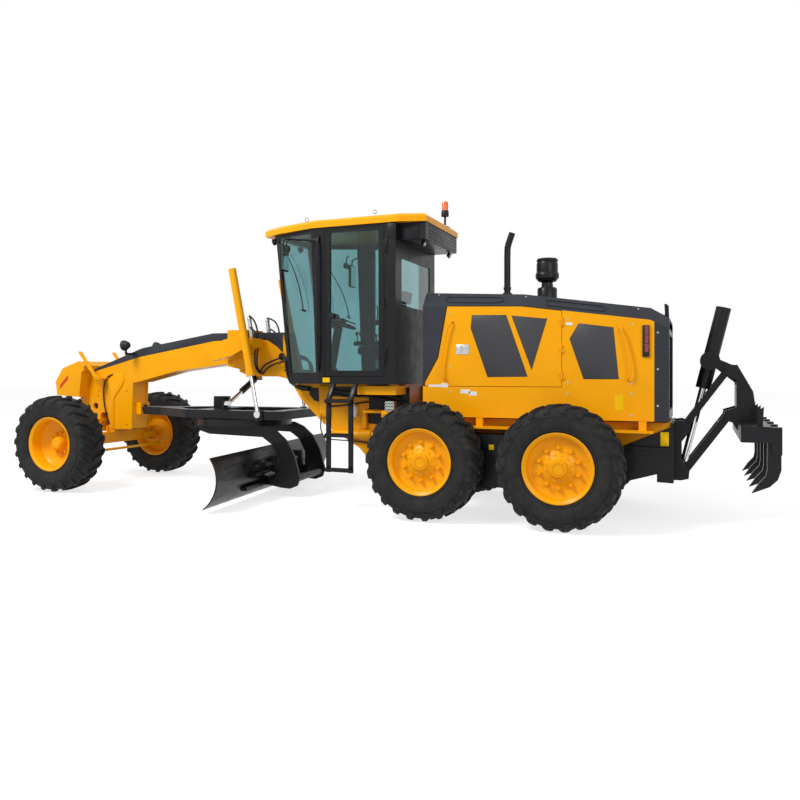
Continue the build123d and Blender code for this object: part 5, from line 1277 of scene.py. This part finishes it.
# %% [markdown]
# ## Nose, cab doors and ladders
# The nose has plates, bolts and a thin hose. Each cab door hangs on two hinges. A ladder
# has folded sides and rungs with a toothed top: a side is one bent outline made solid,
# and the teeth are small bars in a row, whose edges catch the light as pressed ones do.

# %% Nose hoses and plates
NOSE_LINE = [
    (4.06, 0.165, 1.64), (4.15, 0.19, 1.625), (4.222, 0.192, 1.48), (4.228, 0.19, 1.25),
    (4.18, 0.19, 1.05), (4.12, 0.19, 0.9), (4.1, 0.165, 0.86),
]
paired([tube(NOSE_LINE, 0.01)], "nose_hoses", FRONT, hose_rubber, 50)
NOSE_PLATE = [
    (4.183, 1.532), (3.988, 1.659), (3.9, 1.665), (3.86, 1.64), (3.838, 1.56), (3.88, 1.47),
    (3.956, 1.381), (4.037, 1.279), (4.028, 0.822), (4.125, 0.822), (4.15, 1.0),
]
nose = [
    side_slab(NOSE_PLATE, BOOM_SEAT, 0.014, 0.003),
    block((4.545, 0.12, 0.9), (4.69, 0.19, 1.76), 0.006),
]
paired(nose, "nose_plates", FRONT, yellow)

# %% Cab sill label
CAB_FACE = 0.717
sill_label = film((0.084, 1.552, 0.182, 1.61), CAB_FACE - 0.001, 0.002)
paired([sill_label], "cab_sill_labels", FRONT, label_yellow)

# %% Hinges of the cab doors
HINGE_X, HINGE_Y = -0.668, CAB_FACE + 0.012
hinges = []
for z in (3.12, 1.815):
    hinges += [
        block((-0.7, CAB_FACE - 0.003, z), (-0.672, CAB_FACE + 0.01, z + 0.175), 0.003),
        rod((HINGE_X, HINGE_Y, z + 0.02), (HINGE_X, HINGE_Y, z + 0.155), 0.009, 12),
    ]
paired(hinges, "cab_door_hinges", FRONT, black)

# %% Ladders
LADDER_X = (-0.3, 0.066)
RAIL = 0.062
RUNGS = (0.48, 0.905, 1.325)
TREAD_BARS, TREAD_PITCH = 9, 0.024
RAIL_SIDE = [
    (0.822, 0.443), (0.852, 0.443), (0.852, 1.352), (0.728, 1.535), (0.68, 1.535), (0.822, 1.338),
]
rails = []
for x in (LADDER_X[0], LADDER_X[1] - RAIL):
    rails.append(slab(RAIL_SIDE, lambda a, b, x=x: (x, a, b), (RAIL, 0, 0), 0.004))
for z in RUNGS:
    rails.append(block((LADDER_X[0], 0.824, z - 0.024), (LADDER_X[1], 0.9, z + 0.018)))
    for i in range(TREAD_BARS):
        x = LADDER_X[0] + 0.07 + TREAD_PITCH * i
        rails.append(block((x, 0.832, z + 0.017), (x + 0.012, 0.894, z + 0.023), 0))
paired(rails, "ladder_rails", FRONT, black, 35, ["ladders"])

# %% [markdown]
# ## Saddle
# A slim valve body with collars stands beside each lift cylinder, and its hoses hang in
# loops to the boom. A loop needs few places, because the line between them is smooth,
# and more of them would make it wavy.

# %% Valve and hoses on the saddle
VALVE_LOW, VALVE_HIGH = Vector((1.54, 0.232, 2.15)), Vector((1.588, 0.232, 2.44))
valve = [
    rod(VALVE_LOW, VALVE_HIGH, 0.03),
    rod(VALVE_HIGH, VALVE_HIGH + Vector((0.004, 0, 0.03)), 0.018),
]
for share in (0.1, 0.5, 0.9):  # collars along it
    ends = [VALVE_LOW.lerp(VALVE_HIGH, t) for t in (share, share + 0.03)]
    valve.append(rod(*ends, 0.035))
paired(valve, "lift_valves", FRONT, zinc)
bracket = block((1.52, BOOM_SEAT, 2.16), (1.56, 0.24, 2.22))
paired([bracket], "lift_valve_brackets", FRONT, yellow)
SADDLE_LINES = [
    [
        (1.59, 0.235, 2.46), (1.5, 0.29, 2.44), (1.42, 0.29, 2.3), (1.4, 0.285, 2.06),
        (1.44, 0.28, 1.85), (1.44, 0.24, 1.7), (1.42, 0.18, 1.66),
    ],
    [
        (1.56, 0.255, 2.3), (1.47, 0.28, 2.28), (1.445, 0.28, 2.06), (1.475, 0.275, 1.86),
        (1.475, 0.24, 1.72), (1.455, 0.18, 1.67),
    ],
    [(1.44, 0.185, 1.66), (1.38, 0.24, 1.76), (1.16, 0.25, 1.85), (1.09, 0.18, 1.88)],
    [
        (1.4, 0.185, 1.65), (1.33, 0.23, 1.72), (1.15, 0.24, 1.8), (1.06, 0.22, 1.82),
        (1.04, 0.18, 1.83),
    ],
]
saddle_hoses = [tube(points, 0.012) for points in SADDLE_LINES]
paired(saddle_hoses, "saddle_hoses", FRONT, hose_rubber, 50)

# %% Bolts of the nose
NOSE_BOLTS = [(4.345, z) for z in (0.9, 0.97, 1.33, 1.4)] + [(3.8, 0.9), (3.8, 1.4)]
nose_bolts = bolts([(x, BOOM_SIDE - 0.001, z) for x, z in NOSE_BOLTS], LEFT, 0.014)
paired(nose_bolts, "boom_bolts", FRONT, yellow)

# %% Finish
bpy.data.objects.remove(BOLT)
